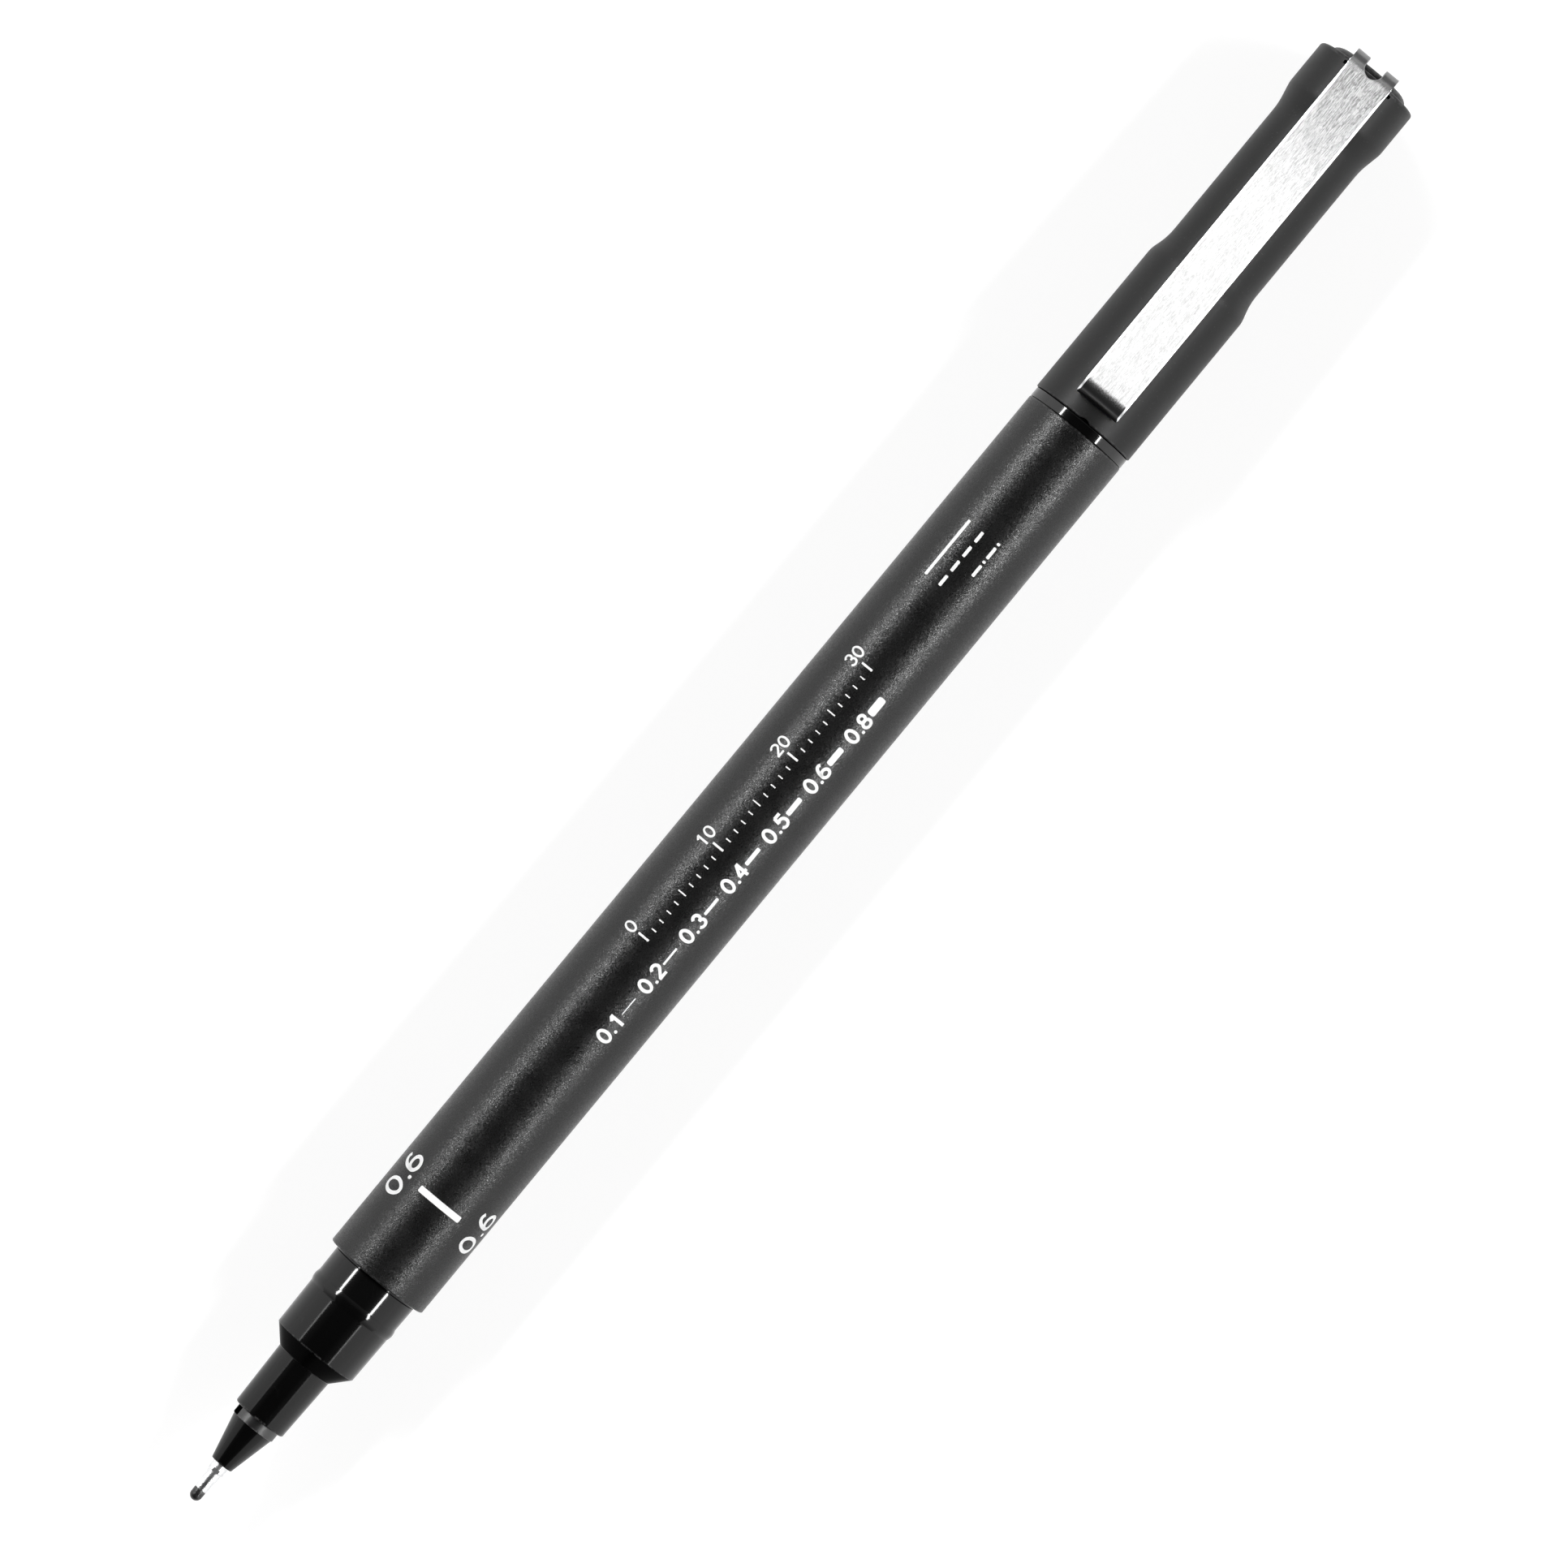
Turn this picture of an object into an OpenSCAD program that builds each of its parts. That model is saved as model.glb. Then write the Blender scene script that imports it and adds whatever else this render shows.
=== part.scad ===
// Fineliner pen lying with its clip uppermost and its cap pushed onto the tail.
// Lengths are in millimetres. The pen's axis runs along X, with the writing point at the low end.
// Stations are distances along the axis from the tip of the point, and outlines are turned
// from pairs of radius and station.

/* [Writing point] */
// Diameter of the plastic point where it shows
point_d = 1.14; // [1.06:0.02:1.16]
// Length of the point in front of its steel sleeve
point_len = 1.13; // [0.8:0.01:2]
// Diameter of the rod that carries the ink back from the point
rod_d = 0.9; // [0.6:0.05:0.95]
// Length of the rod's tapered rear end
rod_taper_len = 1.6; // [0.5:0.1:3]
// Depth to which the rod reaches into the ink reservoir
rod_reach = 8; // [4:0.5:20]
// Diameter of the steel sleeve at its front edge
sleeve_front_d = 1.17; // [1.17:0.01:1.3]
// Diameter of the steel sleeve where it meets its collar
sleeve_rear_d = 1.36; // [1.32:0.01:1.5]
// Length of the tapered part of the sleeve
sleeve_len = 1.95; // [1:0.05:3]
// Diameter of the sleeve's collar
collar_d = 1.53; // [1.5:0.01:1.8]
// Length of the collar that shows in front of the nib holder
collar_len = 0.87; // [0.4:0.01:2]
// Length of the sleeve pressed into the nib holder
sleeve_tail_len = 4.2; // [2:0.1:5]

/* [Nib holder] */
// Diameter of the holder's small front face
holder_tip_d = 2.12; // [1.95:0.02:2.6]
// Diameter of the cone where it meets the vented ring
holder_cone_d = 4.1; // [3.6:0.05:4.2]
// Length of the cone
holder_cone_len = 4.23; // [3:0.05:7]
// Diameter of the vented ring
ring_d = 4.25; // [4.22:0.01:4.8]
// Length of the vented ring
ring_len = 0.86; // [0.5:0.02:1.5]
// Diameter of the stem that presses into the front section
stem_d = 3.3; // [2.8:0.05:3.4]
// Length of the stem
stem_len = 8.2; // [5:0.1:8.4]
// Width of the two air vents
vent_w = 1.0; // [0.5:0.05:1.3]
// Depth of the air vents below the surface of the stem
vent_depth = 0.35; // [0.2:0.05:0.5]
// Turn of the first vent about the axis, from the top toward the +Y side
vent_angle = 65; // [0:1:90]

/* [Front section] */
// Diameter of the nose at its front edge
nose_front_d = 5.1; // [4.9:0.05:5.2]
// Diameter of the nose at its rear end
nose_rear_d = 5.42; // [5.3:0.02:6]
// Length of the nose
nose_len = 6.1; // [5:0.1:8]
// Length of the cone between the nose and the grip
shoulder_len = 1.55; // [1:0.05:3]
// Taper of the grip's radius between the barrel and the shoulder
grip_taper = 0.13; // [0.02:0.01:0.4]
// Length of the grip from the shoulder to the barrel
grip_len = 8.25; // [7:0.05:12]
// Length of the spigot inside the barrel
spigot_len = 12; // [6:0.5:20]
// Width of the relief groove in front of the barrel
relief_w = 0.2; // [0.1:0.05:0.5]
// Depth of the relief groove
relief_depth = 0.14; // [0.05:0.01:0.17]
// Chamfer of the nose's front edge
nose_chamfer = 0.12; // [0.05:0.01:0.3]

/* [Snap bead] */
// Distance from a stop face to the crest of its snap bead
snap_depth = 3.15; // [2.5:0.05:4.5]
// Length of a snap bead
bead_len = 1.15; // [0.8:0.05:1.6]

/* [Barrel] */
// Outside diameter of the barrel
barrel_d = 10; // [9.6:0.05:10.6]
// Length of the barrel
barrel_len = 94.4; // [70:0.2:120]
// Wall of the barrel
barrel_wall = 1.0; // [0.8:0.05:1.05]
// Rounding of the barrel's edges
barrel_edge = 0.15; // [0.05:0.01:0.3]
// Wall of the two spigots inside the barrel
spigot_wall = 0.73; // [0.5:0.01:1]

/* [Ink reservoir] */
// Thickness of the film around the fibre bundle
film_wall = 0.15; // [0.1:0.01:0.3]
// Distance by which the film stays short of each end of the bundle
film_inset = 0.6; // [0.2:0.1:2]

/* [Tail plug] */
// Step from the barrel's surface down to the glossy flange
flange_step = 0.02; // [0:0.01:0.3]
// Length of the flange
flange_len = 0.92; // [0.6:0.02:2]
// Rounding of the flange's edges
flange_edge = 0.1; // [0.05:0.01:0.2]
// Length of the plug behind the flange
plug_len = 14.1; // [8:0.1:14.4]
// Thickness of the plug's closed end
plug_end_wall = 1.2; // [0.8:0.1:2.5]
// Rounding of the plug's free edge
plug_edge = 0.6; // [0.2:0.05:0.9]
// Length of the plug's spigot inside the barrel
tail_spigot_len = 8; // [5:0.5:15]
// Depth to which the reservoir enters the plug
reservoir_grip = 5; // [3:0.5:7]
// Thickness of the ribs that stop the reservoir
stop_rib_w = 0.8; // [0.5:0.05:1.4]

/* [Cap] */
// Height of the cap's mouth above the barrel's surface
mouth_rise = 0.1; // [0.05:0.01:0.5]
// Taper of the mouth end's radius between the lip and the slope
mouth_taper = 0.03; // [0.01:0.01:0.1]
// Length of the thick mouth end
mouth_len = 15.4; // [15:0.1:18]
// Length of the slope behind the mouth end
mouth_slope_len = 1.7; // [1:0.1:4]
// Depth of the waist below the barrel's surface
waist_drop = 0.415; // [0.2:0.005:0.6]
// Length of the waist
waist_len = 14.9; // [13.6:0.1:20]
// Length of the slope in front of the head
head_slope_len = 2.1; // [1:0.1:4]
// Height of the head above the barrel's surface
head_rise = 0.02; // [0:0.01:0.3]
// Length of the head
head_len = 4.4; // [4:0.1:8]
// Rounding of the head's rear edge
head_edge = 0.3; // [0.1:0.02:0.5]
// Wall of the cap at its mouth
cap_wall = 0.74; // [0.6:0.01:1]
// Depth of the mouth's bore
cap_bore_len = 14.7; // [14.6:0.05:14.95]
// Depth of the groove that takes the snap bead
snap_groove_depth = 0.12; // [0.05:0.01:0.2]
// Wall of the waist around the inner cap
waist_wall = 1.085; // [0.8:0.005:1.3]
// Length of the cap's rounded lip edge
lip_edge = 0.12; // [0.05:0.01:0.2]
// Width of the gate mark in the top of the lip
gate_w = 1.1; // [0.5:0.05:2]
// Depth of the gate mark along the cap
gate_depth = 0.22; // [0.1:0.01:0.4]

/* [Inner cap] */
// Wall of the inner cap
liner_wall = 0.58; // [0.4:0.01:0.8]
// Distance from the wall of the mouth's bore to the inner cap's flange
liner_flange_inset = 0.21; // [0.1:0.01:0.4]
// Thickness of the inner cap's flange
liner_flange_len = 0.7; // [0.4:0.05:1]
// Height of the sealing lip inside the inner cap
liner_lip_height = 0.3; // [0.1:0.01:0.34]
// Length of the sealing lip
liner_lip_len = 1.0; // [0.6:0.05:2]
// Depth of the inner cap behind its flange
liner_len = 13.6; // [12:0.1:13.9]
// Thickness of the inner cap's closed end
liner_end_wall = 0.8; // [0.5:0.05:1.5]

/* [Crown] */
// Wall of the head around the crown
head_wall = 0.92; // [0.7:0.01:1.1]
// Height of the crown's flat end above the head
crown_rise = 0.66; // [0.4:0.02:0.9]
// Rounding of the crown's edge
crown_edge = 1.0; // [0.92:0.02:1.2]
// Depth to which the crown is let into the head
crown_seat = 2.2; // [1.9:0.05:2.6]
// Clearance around the crown's stem
crown_stem_gap = 0.05; // [0.02:0.01:0.2]
// Length of the crown's stem
crown_stem_len = 3.2; // [2:0.1:3.6]
// Wall of the crown's hollow stem
crown_stem_wall = 1.0; // [0.6:0.05:1.5]
// Width of the shallow groove around the crown
crown_groove_w = 0.16; // [0.08:0.01:0.25]

/* [Clip] */
// Width of the steel strip
clip_w = 4.45; // [3.6:0.05:4.8]
// Thickness of the steel strip
sheet = 0.45; // [0.3:0.01:0.5]
// Width of the polished bevel along the strip's edges
bevel_w = 0.26; // [0.1:0.01:0.3]
// Depth of the bevel
bevel_depth = 0.14; // [0.05:0.01:0.2]
// Distance from the cap's mouth to the clip's free end
clip_start = 1.55; // [1:0.05:4]
// Inside radius of the bend over the crown
bend_r = 0.9; // [0.7:0.02:1.1]
// Inside radius of the curl at the free end
curl_r = 1.1; // [0.6:0.02:1.3]
// Inside radius of the bend where the tabs enter the crown
lug_bend_r = 0.3; // [0.2:0.02:0.4]
// Height of the tabs' bends above the axis
lug_height = 2.4; // [2:0.05:2.9]
// Length of the tabs' straight ends inside the crown
lug_len = 1.1; // [0.7:0.05:1.3]
// Width of the hole between the two tabs
hole_w = 1.72; // [1.2:0.02:2.2]
// Distance from the round end of the hole to the outer face of the tabs
hole_len = 1.6; // [1.45:0.02:2]
// Rounding of the clip's corners at the free end
clip_corner = 0.4; // [0.2:0.02:0.8]
// Gap between the head of the cap and the clip
arm_gap = 0.22; // [0.1:0.02:0.4]

/* [Fits] */
// Clearance around pieces that are pressed together
press_gap = 0.02; // [0.01:0.005:0.03]
// Clearance of the clip against the cap and the crown
clip_gap = 0.04; // [0.02:0.01:0.08]
// Clearance around the tabs in their slots
slot_gap = 0.14; // [0.12:0.01:0.2]
// Gap in the seam between the tail's flange and the cap
seam = 0.05; // [0.02:0.01:0.15]
// Gap between the reservoir and what stops it
stop_gap = 0.1; // [0.05:0.01:0.3]
// Clearance around the reservoir in its two seats
seat_gap = 0.08; // [0.04:0.01:0.2]
// Clearance between the cap's bore and a snap bead
bead_gap = 0.04; // [0.02:0.01:0.1]
// Clearance between the cap's bore and the tail's plug
plug_gap = 0.135; // [0.1:0.005:0.3]
// Clearance between the cap's bore and the grip
grip_gap = 0.11; // [0.08:0.01:0.3]

/* [Hidden] */
$fn = 96;
arc_steps = 8;
bead_steps = 10;

// Overrun of every cut past the surface that it leaves
over = 0.5;
// Distance between the cone inside the front section and its two bores
cavity_slope_len = 0.8;
// Chamfer that leads a pressed piece into its seat
lead_in = 0.3;
// Diameter of the blunt rear end of the rod
rod_end_d = 0.4;
// Chamfer of the steel collar's front edge
collar_chamfer = 0.07;
// Distance between the end of the stem and the front seat of the reservoir
stem_gap = 0.4;
// Extent of the slot under the clip beyond each of its edges, and its length along the cap
head_slot_side = 0.3;
head_slot_len = 0.35;
// Distance from the rear end of the head to the slot under the clip
head_slot_from_end = 0.35;
// Depth of the slot under the clip below the top of the head
head_slot_depth = 1.0;

// Diameters that follow from the barrel, the walls and the fits, from the outside in
mouth_d = barrel_d + 2 * mouth_rise;
head_d = barrel_d + 2 * head_rise;
waist_d = barrel_d - 2 * waist_drop;
flange_d = barrel_d - 2 * flange_step;
cap_bore_d = mouth_d - 2 * cap_wall;
bead_d = cap_bore_d - 2 * bead_gap;
plug_d = cap_bore_d - 2 * plug_gap;
grip_rear_d = cap_bore_d - 2 * grip_gap;
grip_front_d = grip_rear_d - 2 * grip_taper;
spigot_d = barrel_d - 2 * barrel_wall - 2 * press_gap;
seat_d = spigot_d - 2 * spigot_wall;
reservoir_d = seat_d - 2 * (seat_gap + film_wall + press_gap);
crown_d = head_d - 2 * head_wall;
waist_bore_d = waist_d - 2 * waist_wall;
crown_stem_d = waist_bore_d - 2 * crown_stem_gap;
crown_stem_bore_d = crown_stem_d - 2 * crown_stem_wall;
liner_flange_d = cap_bore_d - 2 * liner_flange_inset;
liner_bore_d = waist_bore_d - 2 * press_gap - 2 * liner_wall;
liner_lip_d = liner_bore_d - 2 * liner_lip_height;

// Stations of the point and its sleeve
sleeve_x = point_len;
collar_x = sleeve_x + sleeve_len;
holder_x = collar_x + collar_len;
sleeve_end_x = holder_x + sleeve_tail_len;
// Stations of the nib holder
ring_x = holder_x + holder_cone_len;
nose_x = ring_x + ring_len;
stem_end_x = nose_x + stem_len;
// Stations of the front section
shoulder_x = nose_x + nose_len;
grip_x = shoulder_x + shoulder_len;
barrel_x = grip_x + grip_len;
spigot_end_x = barrel_x + spigot_len;
seat_x = stem_end_x + stem_gap;
// Stations of the barrel and the tail plug
flange_x = barrel_x + barrel_len;
plug_x = flange_x + flange_len;
plug_end_x = plug_x + plug_len;
tail_spigot_x = flange_x - tail_spigot_len;
// Stations of the reservoir and the rod's end
reservoir_x = seat_x + stop_gap;
reservoir_end_x = tail_spigot_x + reservoir_grip;
stop_x = reservoir_end_x + stop_gap;
rod_end_x = reservoir_x + rod_reach;
// Stations of the cap
mouth_x = plug_x + seam;
mouth_slope_x = mouth_x + mouth_len;
waist_x = mouth_slope_x + mouth_slope_len;
head_slope_x = waist_x + waist_len;
head_x = head_slope_x + head_slope_len;
head_end_x = head_x + head_len;
liner_x = mouth_x + cap_bore_len;
liner_seat_x = liner_x + liner_flange_len;
liner_end_x = liner_seat_x + liner_len;
crown_seat_x = head_end_x - crown_seat;
crown_end_x = head_end_x + crown_rise;

// Clip: centres of its bends in the plane of the axis, and the slope of its arm
tab_x = crown_end_x + clip_gap;
lug_bend_x = tab_x - lug_bend_r;
bend_x = tab_x - bend_r;
bend_z = head_d / 2 + arm_gap - bend_r;
curl_outer_r = curl_r + sheet;
curl_x = mouth_x + clip_start + curl_outer_r;
arm_len = bend_x - curl_x;
curl_z = mouth_d / 2 + clip_gap;
curl_drop = bend_r - curl_r;
arm_slope = asin((curl_z - bend_z) / norm([arm_len, curl_drop])) - atan2(curl_drop, arm_len);
tab_w = (clip_w - hole_w) / 2;
clip_end_x = tab_x + sheet;

// Frame: the middle of the pen's length on the surface that it lies on
rest_r = max(mouth_d, head_d, barrel_d, flange_d) / 2;

// Points of an arc in an outline, about a centre given by its radius and station
function arc(centre_r, centre_x, rad, from, to) =
    [for (i = [0 : arc_steps])
        let (a = from + (to - from) * i / arc_steps)
        [centre_r + rad * cos(a), centre_x + rad * sin(a)]];

// Points of a snap bead, half a sine wave raised on a straight line between two radii
function bead(crest_x, r_before, r_after) =
    [for (i = [0 : bead_steps])
        let (share = i / bead_steps,
            base = r_before + (r_after - r_before) * share,
            rise = bead_d / 2 - (r_before + r_after) / 2)
        [base + rise * sin(180 * share), crest_x + bead_len * (share - 0.5)]];

// Radius on a straight taper at a station
function taper(r0, x0, r1, x1, x) = r0 + (r1 - r0) * (x - x0) / (x1 - x0);

module placed() {
    translate([-clip_end_x / 2, 0, rest_r]) children();
}

// Solid of revolution about the pen's axis
module turned(outline) {
    rotate([0, 90, 0]) rotate_extrude() polygon(outline);
}

// Round bore along the axis
module bored(d, x0, x1) {
    translate([x0, 0, 0]) rotate([0, 90, 0]) cylinder(d = d, h = x1 - x0);
}

module nib() {
    r = point_d / 2;
    color([0.1, 0.1, 0.11]) placed() rotate([0, 90, 0]) rotate_extrude() {
        intersection() {
            translate([0, r]) circle(r);
            square([r, r]);
        }
        polygon([[0, r], [r, r], [r, point_len], [rod_d / 2, point_len],
            [rod_d / 2, rod_end_x - rod_taper_len], [rod_end_d / 2, rod_end_x],
            [0, rod_end_x]]);
    }
}

module nib_sleeve() {
    bore_r = rod_d / 2 + press_gap;
    collar_r = collar_d / 2;
    color([0.85, 0.86, 0.87]) placed() turned([
        [bore_r, sleeve_x], [sleeve_front_d / 2, sleeve_x], [sleeve_rear_d / 2, collar_x],
        [collar_r - collar_chamfer, collar_x], [collar_r, collar_x + collar_chamfer],
        [collar_r, sleeve_end_x], [bore_r, sleeve_end_x]]);
}

// Air vent cut through the ring and on along the stem, turned from the top toward the +Y side
module vent(angle) {
    floor_r = stem_d / 2 - vent_depth;
    rotate([-angle, 0, 0]) translate([ring_x, -vent_w / 2, floor_r])
        cube([ring_len + stem_len + over, vent_w, ring_d]);
}

module nib_holder() {
    sleeve_r = collar_d / 2 + press_gap;
    rod_r = rod_d / 2 + press_gap;
    color([0.04, 0.04, 0.045]) placed() difference() {
        turned([
            [sleeve_r, holder_x], [holder_tip_d / 2, holder_x], [holder_cone_d / 2, ring_x],
            [ring_d / 2, ring_x], [ring_d / 2, nose_x], [stem_d / 2, nose_x],
            [stem_d / 2, stem_end_x - lead_in], [stem_d / 2 - lead_in, stem_end_x],
            [rod_r, stem_end_x], [rod_r, sleeve_end_x], [sleeve_r, sleeve_end_x]]);
        for (side = [0, 180]) vent(vent_angle + side);
    }
}

module front_section() {
    stem_r = stem_d / 2 + press_gap;
    cavity_x = seat_x - cavity_slope_len;
    bead_x = barrel_x - snap_depth;
    bead_front_r = taper(grip_front_d / 2, grip_x, grip_rear_d / 2, barrel_x, bead_x - bead_len / 2);
    bead_rear_r = taper(grip_front_d / 2, grip_x, grip_rear_d / 2, barrel_x, bead_x + bead_len / 2);
    relief_r = grip_rear_d / 2 - relief_depth;
    color([0.05, 0.05, 0.055]) placed() turned(concat(
        [[stem_r, nose_x], [nose_front_d / 2 - nose_chamfer, nose_x],
            [nose_front_d / 2, nose_x + nose_chamfer], [nose_rear_d / 2, shoulder_x],
            [grip_front_d / 2, grip_x]],
        bead(bead_x, bead_front_r, bead_rear_r),
        [[grip_rear_d / 2, barrel_x - relief_w], [relief_r, barrel_x - relief_w],
            [relief_r, barrel_x], [spigot_d / 2, barrel_x],
            [spigot_d / 2, spigot_end_x - lead_in], [spigot_d / 2 - lead_in, spigot_end_x],
            [seat_d / 2, spigot_end_x], [seat_d / 2, seat_x],
            [stem_r + press_gap, cavity_x], [stem_r, cavity_x]]));
}

module barrel() {
    bore_r = barrel_d / 2 - barrel_wall;
    edge_r = barrel_d / 2 - barrel_edge;
    color([0.2, 0.2, 0.205]) placed() turned(concat(
        [[bore_r, flange_x], [bore_r, barrel_x]],
        arc(edge_r, barrel_x + barrel_edge, barrel_edge, -90, 0),
        arc(edge_r, flange_x - barrel_edge, barrel_edge, 0, 90)));
}

module ink_reservoir() {
    color([0.09, 0.09, 0.11]) placed() difference() {
        bored(reservoir_d, reservoir_x, reservoir_end_x);
        bored(rod_d + 2 * press_gap, reservoir_x - over, rod_end_x + stop_gap);
    }
}

module reservoir_film() {
    bore_d = reservoir_d + 2 * press_gap;
    color([0.8, 0.82, 0.85]) placed() difference() {
        bored(bore_d + 2 * film_wall, reservoir_x + film_inset, reservoir_end_x - film_inset);
        bored(bore_d, reservoir_x, reservoir_end_x);
    }
}

module tail_plug() {
    floor_x = plug_end_x - plug_end_wall;
    bead_x = plug_x + snap_depth;
    color([0.05, 0.05, 0.055]) placed() {
        turned(concat(
            [[seat_d / 2, tail_spigot_x], [spigot_d / 2 - lead_in, tail_spigot_x],
                [spigot_d / 2, tail_spigot_x + lead_in], [spigot_d / 2, flange_x]],
            arc(flange_d / 2 - flange_edge, flange_x + flange_edge, flange_edge, -90, 0),
            arc(flange_d / 2 - flange_edge, plug_x - flange_edge, flange_edge, 0, 90),
            [[plug_d / 2, plug_x]],
            bead(bead_x, plug_d / 2, plug_d / 2),
            arc(plug_d / 2 - plug_edge, plug_end_x - plug_edge, plug_edge, 0, 90),
            [[0, plug_end_x], [0, floor_x], [seat_d / 2, floor_x]]));
        // Crossed ribs that stop the reservoir
        for (turn = [0, 90])
            rotate([turn, 0, 0]) translate([stop_x, -seat_d / 2 - press_gap, -stop_rib_w / 2])
                cube([floor_x - stop_x + press_gap, seat_d + 2 * press_gap, stop_rib_w]);
    }
}

module cap_shell() {
    bore_r = cap_bore_d / 2;
    groove_r = bore_r + snap_groove_depth;
    groove_x = mouth_x + snap_depth - seam;
    half_groove = bead_len / 2;
    recess_r = crown_d / 2 + crown_groove_w;
    head_r = head_d / 2;
    slot_w = clip_w + 2 * head_slot_side;
    gate_r = (gate_w * gate_w / 4 + gate_depth * gate_depth) / (2 * gate_depth);
    color([0.19, 0.19, 0.195]) placed() difference() {
        turned(concat(
            [[bore_r + lip_edge, mouth_x], [mouth_d / 2 - lip_edge, mouth_x],
                [mouth_d / 2, mouth_x + lip_edge], [mouth_d / 2 - mouth_taper, mouth_slope_x],
                [waist_d / 2, waist_x], [waist_d / 2, head_slope_x], [head_r, head_x]],
            arc(head_r - head_edge, head_end_x - head_edge, head_edge, 0, 90),
            [[recess_r + crown_groove_w, head_end_x],
                [recess_r, head_end_x - crown_groove_w],
                [crown_d / 2 + press_gap, head_end_x - 3 * crown_groove_w],
                [crown_d / 2 + press_gap, crown_seat_x], [waist_bore_d / 2, crown_seat_x],
                [waist_bore_d / 2, liner_seat_x], [liner_flange_d / 2 + press_gap, liner_seat_x],
                [liner_flange_d / 2 + press_gap, liner_x], [bore_r, liner_x],
                [bore_r, groove_x + half_groove + snap_groove_depth],
                [groove_r, groove_x + half_groove], [groove_r, groove_x - half_groove],
                [bore_r, groove_x - half_groove - snap_groove_depth],
                [bore_r, mouth_x + lip_edge]]));
        // Gate mark in the top of the lip
        translate([mouth_x + gate_depth - gate_r, 0, 0]) cylinder(r = gate_r, h = mouth_d);
        // Slot under the clip across the top of the head
        translate([head_end_x - head_slot_from_end - head_slot_len, -slot_w / 2, head_r - head_slot_depth])
            cube([head_slot_len, slot_w, head_slot_depth + over]);
    }
}

module inner_cap() {
    bore_r = liner_bore_d / 2;
    lip_r = liner_lip_d / 2;
    wall_r = waist_bore_d / 2 - press_gap;
    lip_end_x = liner_x + liner_lip_len;
    slope = bore_r - lip_r;
    color([0.75, 0.75, 0.76]) placed() turned([
        [lip_r + slope, liner_x], [liner_flange_d / 2, liner_x],
        [liner_flange_d / 2, liner_seat_x], [wall_r, liner_seat_x],
        [wall_r, liner_end_x - lead_in], [wall_r - lead_in, liner_end_x], [0, liner_end_x],
        [0, liner_end_x - liner_end_wall], [bore_r, liner_end_x - liner_end_wall],
        [bore_r, lip_end_x + slope], [lip_r, lip_end_x], [lip_r, liner_x + slope]]);
}

// Slot that takes one tab of the clip, on the side given by its sign
module tab_slot(side) {
    depth = lug_bend_r + lug_len + slot_gap;
    low = lug_height - lug_bend_r - sheet - slot_gap;
    wide = tab_w + 2 * slot_gap;
    translate([tab_x - depth, side * (hole_w + tab_w) / 2 - wide / 2, low])
        cube([depth + over, wide, lug_height - slot_gap / 2 - low]);
}

module cap_crown() {
    stem_x = crown_seat_x - crown_stem_len;
    color([0.12, 0.12, 0.125]) placed() difference() {
        turned(concat(
            [[crown_stem_bore_d / 2, stem_x], [crown_stem_d / 2, stem_x],
                [crown_stem_d / 2, crown_seat_x], [crown_d / 2, crown_seat_x]],
            arc(crown_d / 2 - crown_edge, crown_end_x - crown_edge, crown_edge, 0, 90),
            [[0, crown_end_x], [0, crown_seat_x], [crown_stem_bore_d / 2, crown_seat_x]]));
        for (side = [-1, 1]) tab_slot(side);
    }
}

// Cross-section of the steel strip on the outer side of a bend: thickness along X, width along Y
module strip_section(inner_r) {
    half = clip_w / 2;
    translate([inner_r, 0]) polygon([[0, -half], [sheet - bevel_depth, -half],
        [sheet, bevel_w - half], [sheet, half - bevel_w], [sheet - bevel_depth, half], [0, half]]);
}

// Bend of the strip about a centre, between two angles
module strip_bend(inner_r, from, to) {
    rotate(from) rotate_extrude(angle = to - from) strip_section(inner_r);
}

// Straight run of the strip that leaves a bend at an angle, forward or back along its tangent
module strip_run(inner_r, angle, len, way) {
    rotate(angle) rotate([-90 * way, 0, 0]) linear_extrude(len) strip_section(inner_r);
}

// The strip as it is bent, before its hole and corners are cut
module bent_strip() {
    arm_angle = 90 - arm_slope;
    rotate([90, 0, 0]) {
        translate([lug_bend_x, lug_height]) {
            strip_bend(lug_bend_r, -90, 0);
            strip_run(lug_bend_r, -90, lug_len, -1);
            strip_run(lug_bend_r, 0, bend_z - lug_height, 1);
        }
        translate([bend_x, bend_z]) {
            strip_bend(bend_r, 0, arm_angle);
            strip_run(bend_r, arm_angle, arm_len, 1);
            rotate(-arm_slope) translate([-arm_len, curl_drop])
                rotate(arm_slope) strip_bend(curl_r, arm_angle, 180);
        }
    }
}

// Outline of the clip seen from above, with its rounded corners and the hole between the tabs
module clip_plan() {
    half = clip_w / 2;
    free_x = mouth_x + clip_start;
    hole_x = clip_end_x - hole_len + hole_w / 2;
    difference() {
        union() {
            translate([free_x + clip_corner, -half - over])
                square([clip_end_x - free_x + over, clip_w + 2 * over]);
            translate([free_x - over, clip_corner - half])
                square([over + 2 * clip_corner, clip_w - 2 * clip_corner]);
            for (side = [-1, 1])
                translate([free_x + clip_corner, side * (half - clip_corner)]) circle(clip_corner);
        }
        translate([hole_x, 0]) circle(d = hole_w);
        translate([hole_x, -hole_w / 2]) square([hole_w + hole_len, hole_w]);
    }
}

module clip() {
    gap_x = lug_bend_x - lug_len - over;
    color([0.8, 0.8, 0.81]) placed() difference() {
        intersection() {
            bent_strip();
            linear_extrude(2 * mouth_d, center = true) clip_plan();
        }
        // Gap between the tabs, down to their ends
        translate([gap_x, -hole_w / 2, 0]) cube([clip_end_x - gap_x + over, hole_w, bend_z]);
    }
}

nib();
nib_sleeve();
nib_holder();
front_section();
barrel();
ink_reservoir();
reservoir_film();
tail_plug();
cap_shell();
inner_cap();
cap_crown();
clip();
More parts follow.
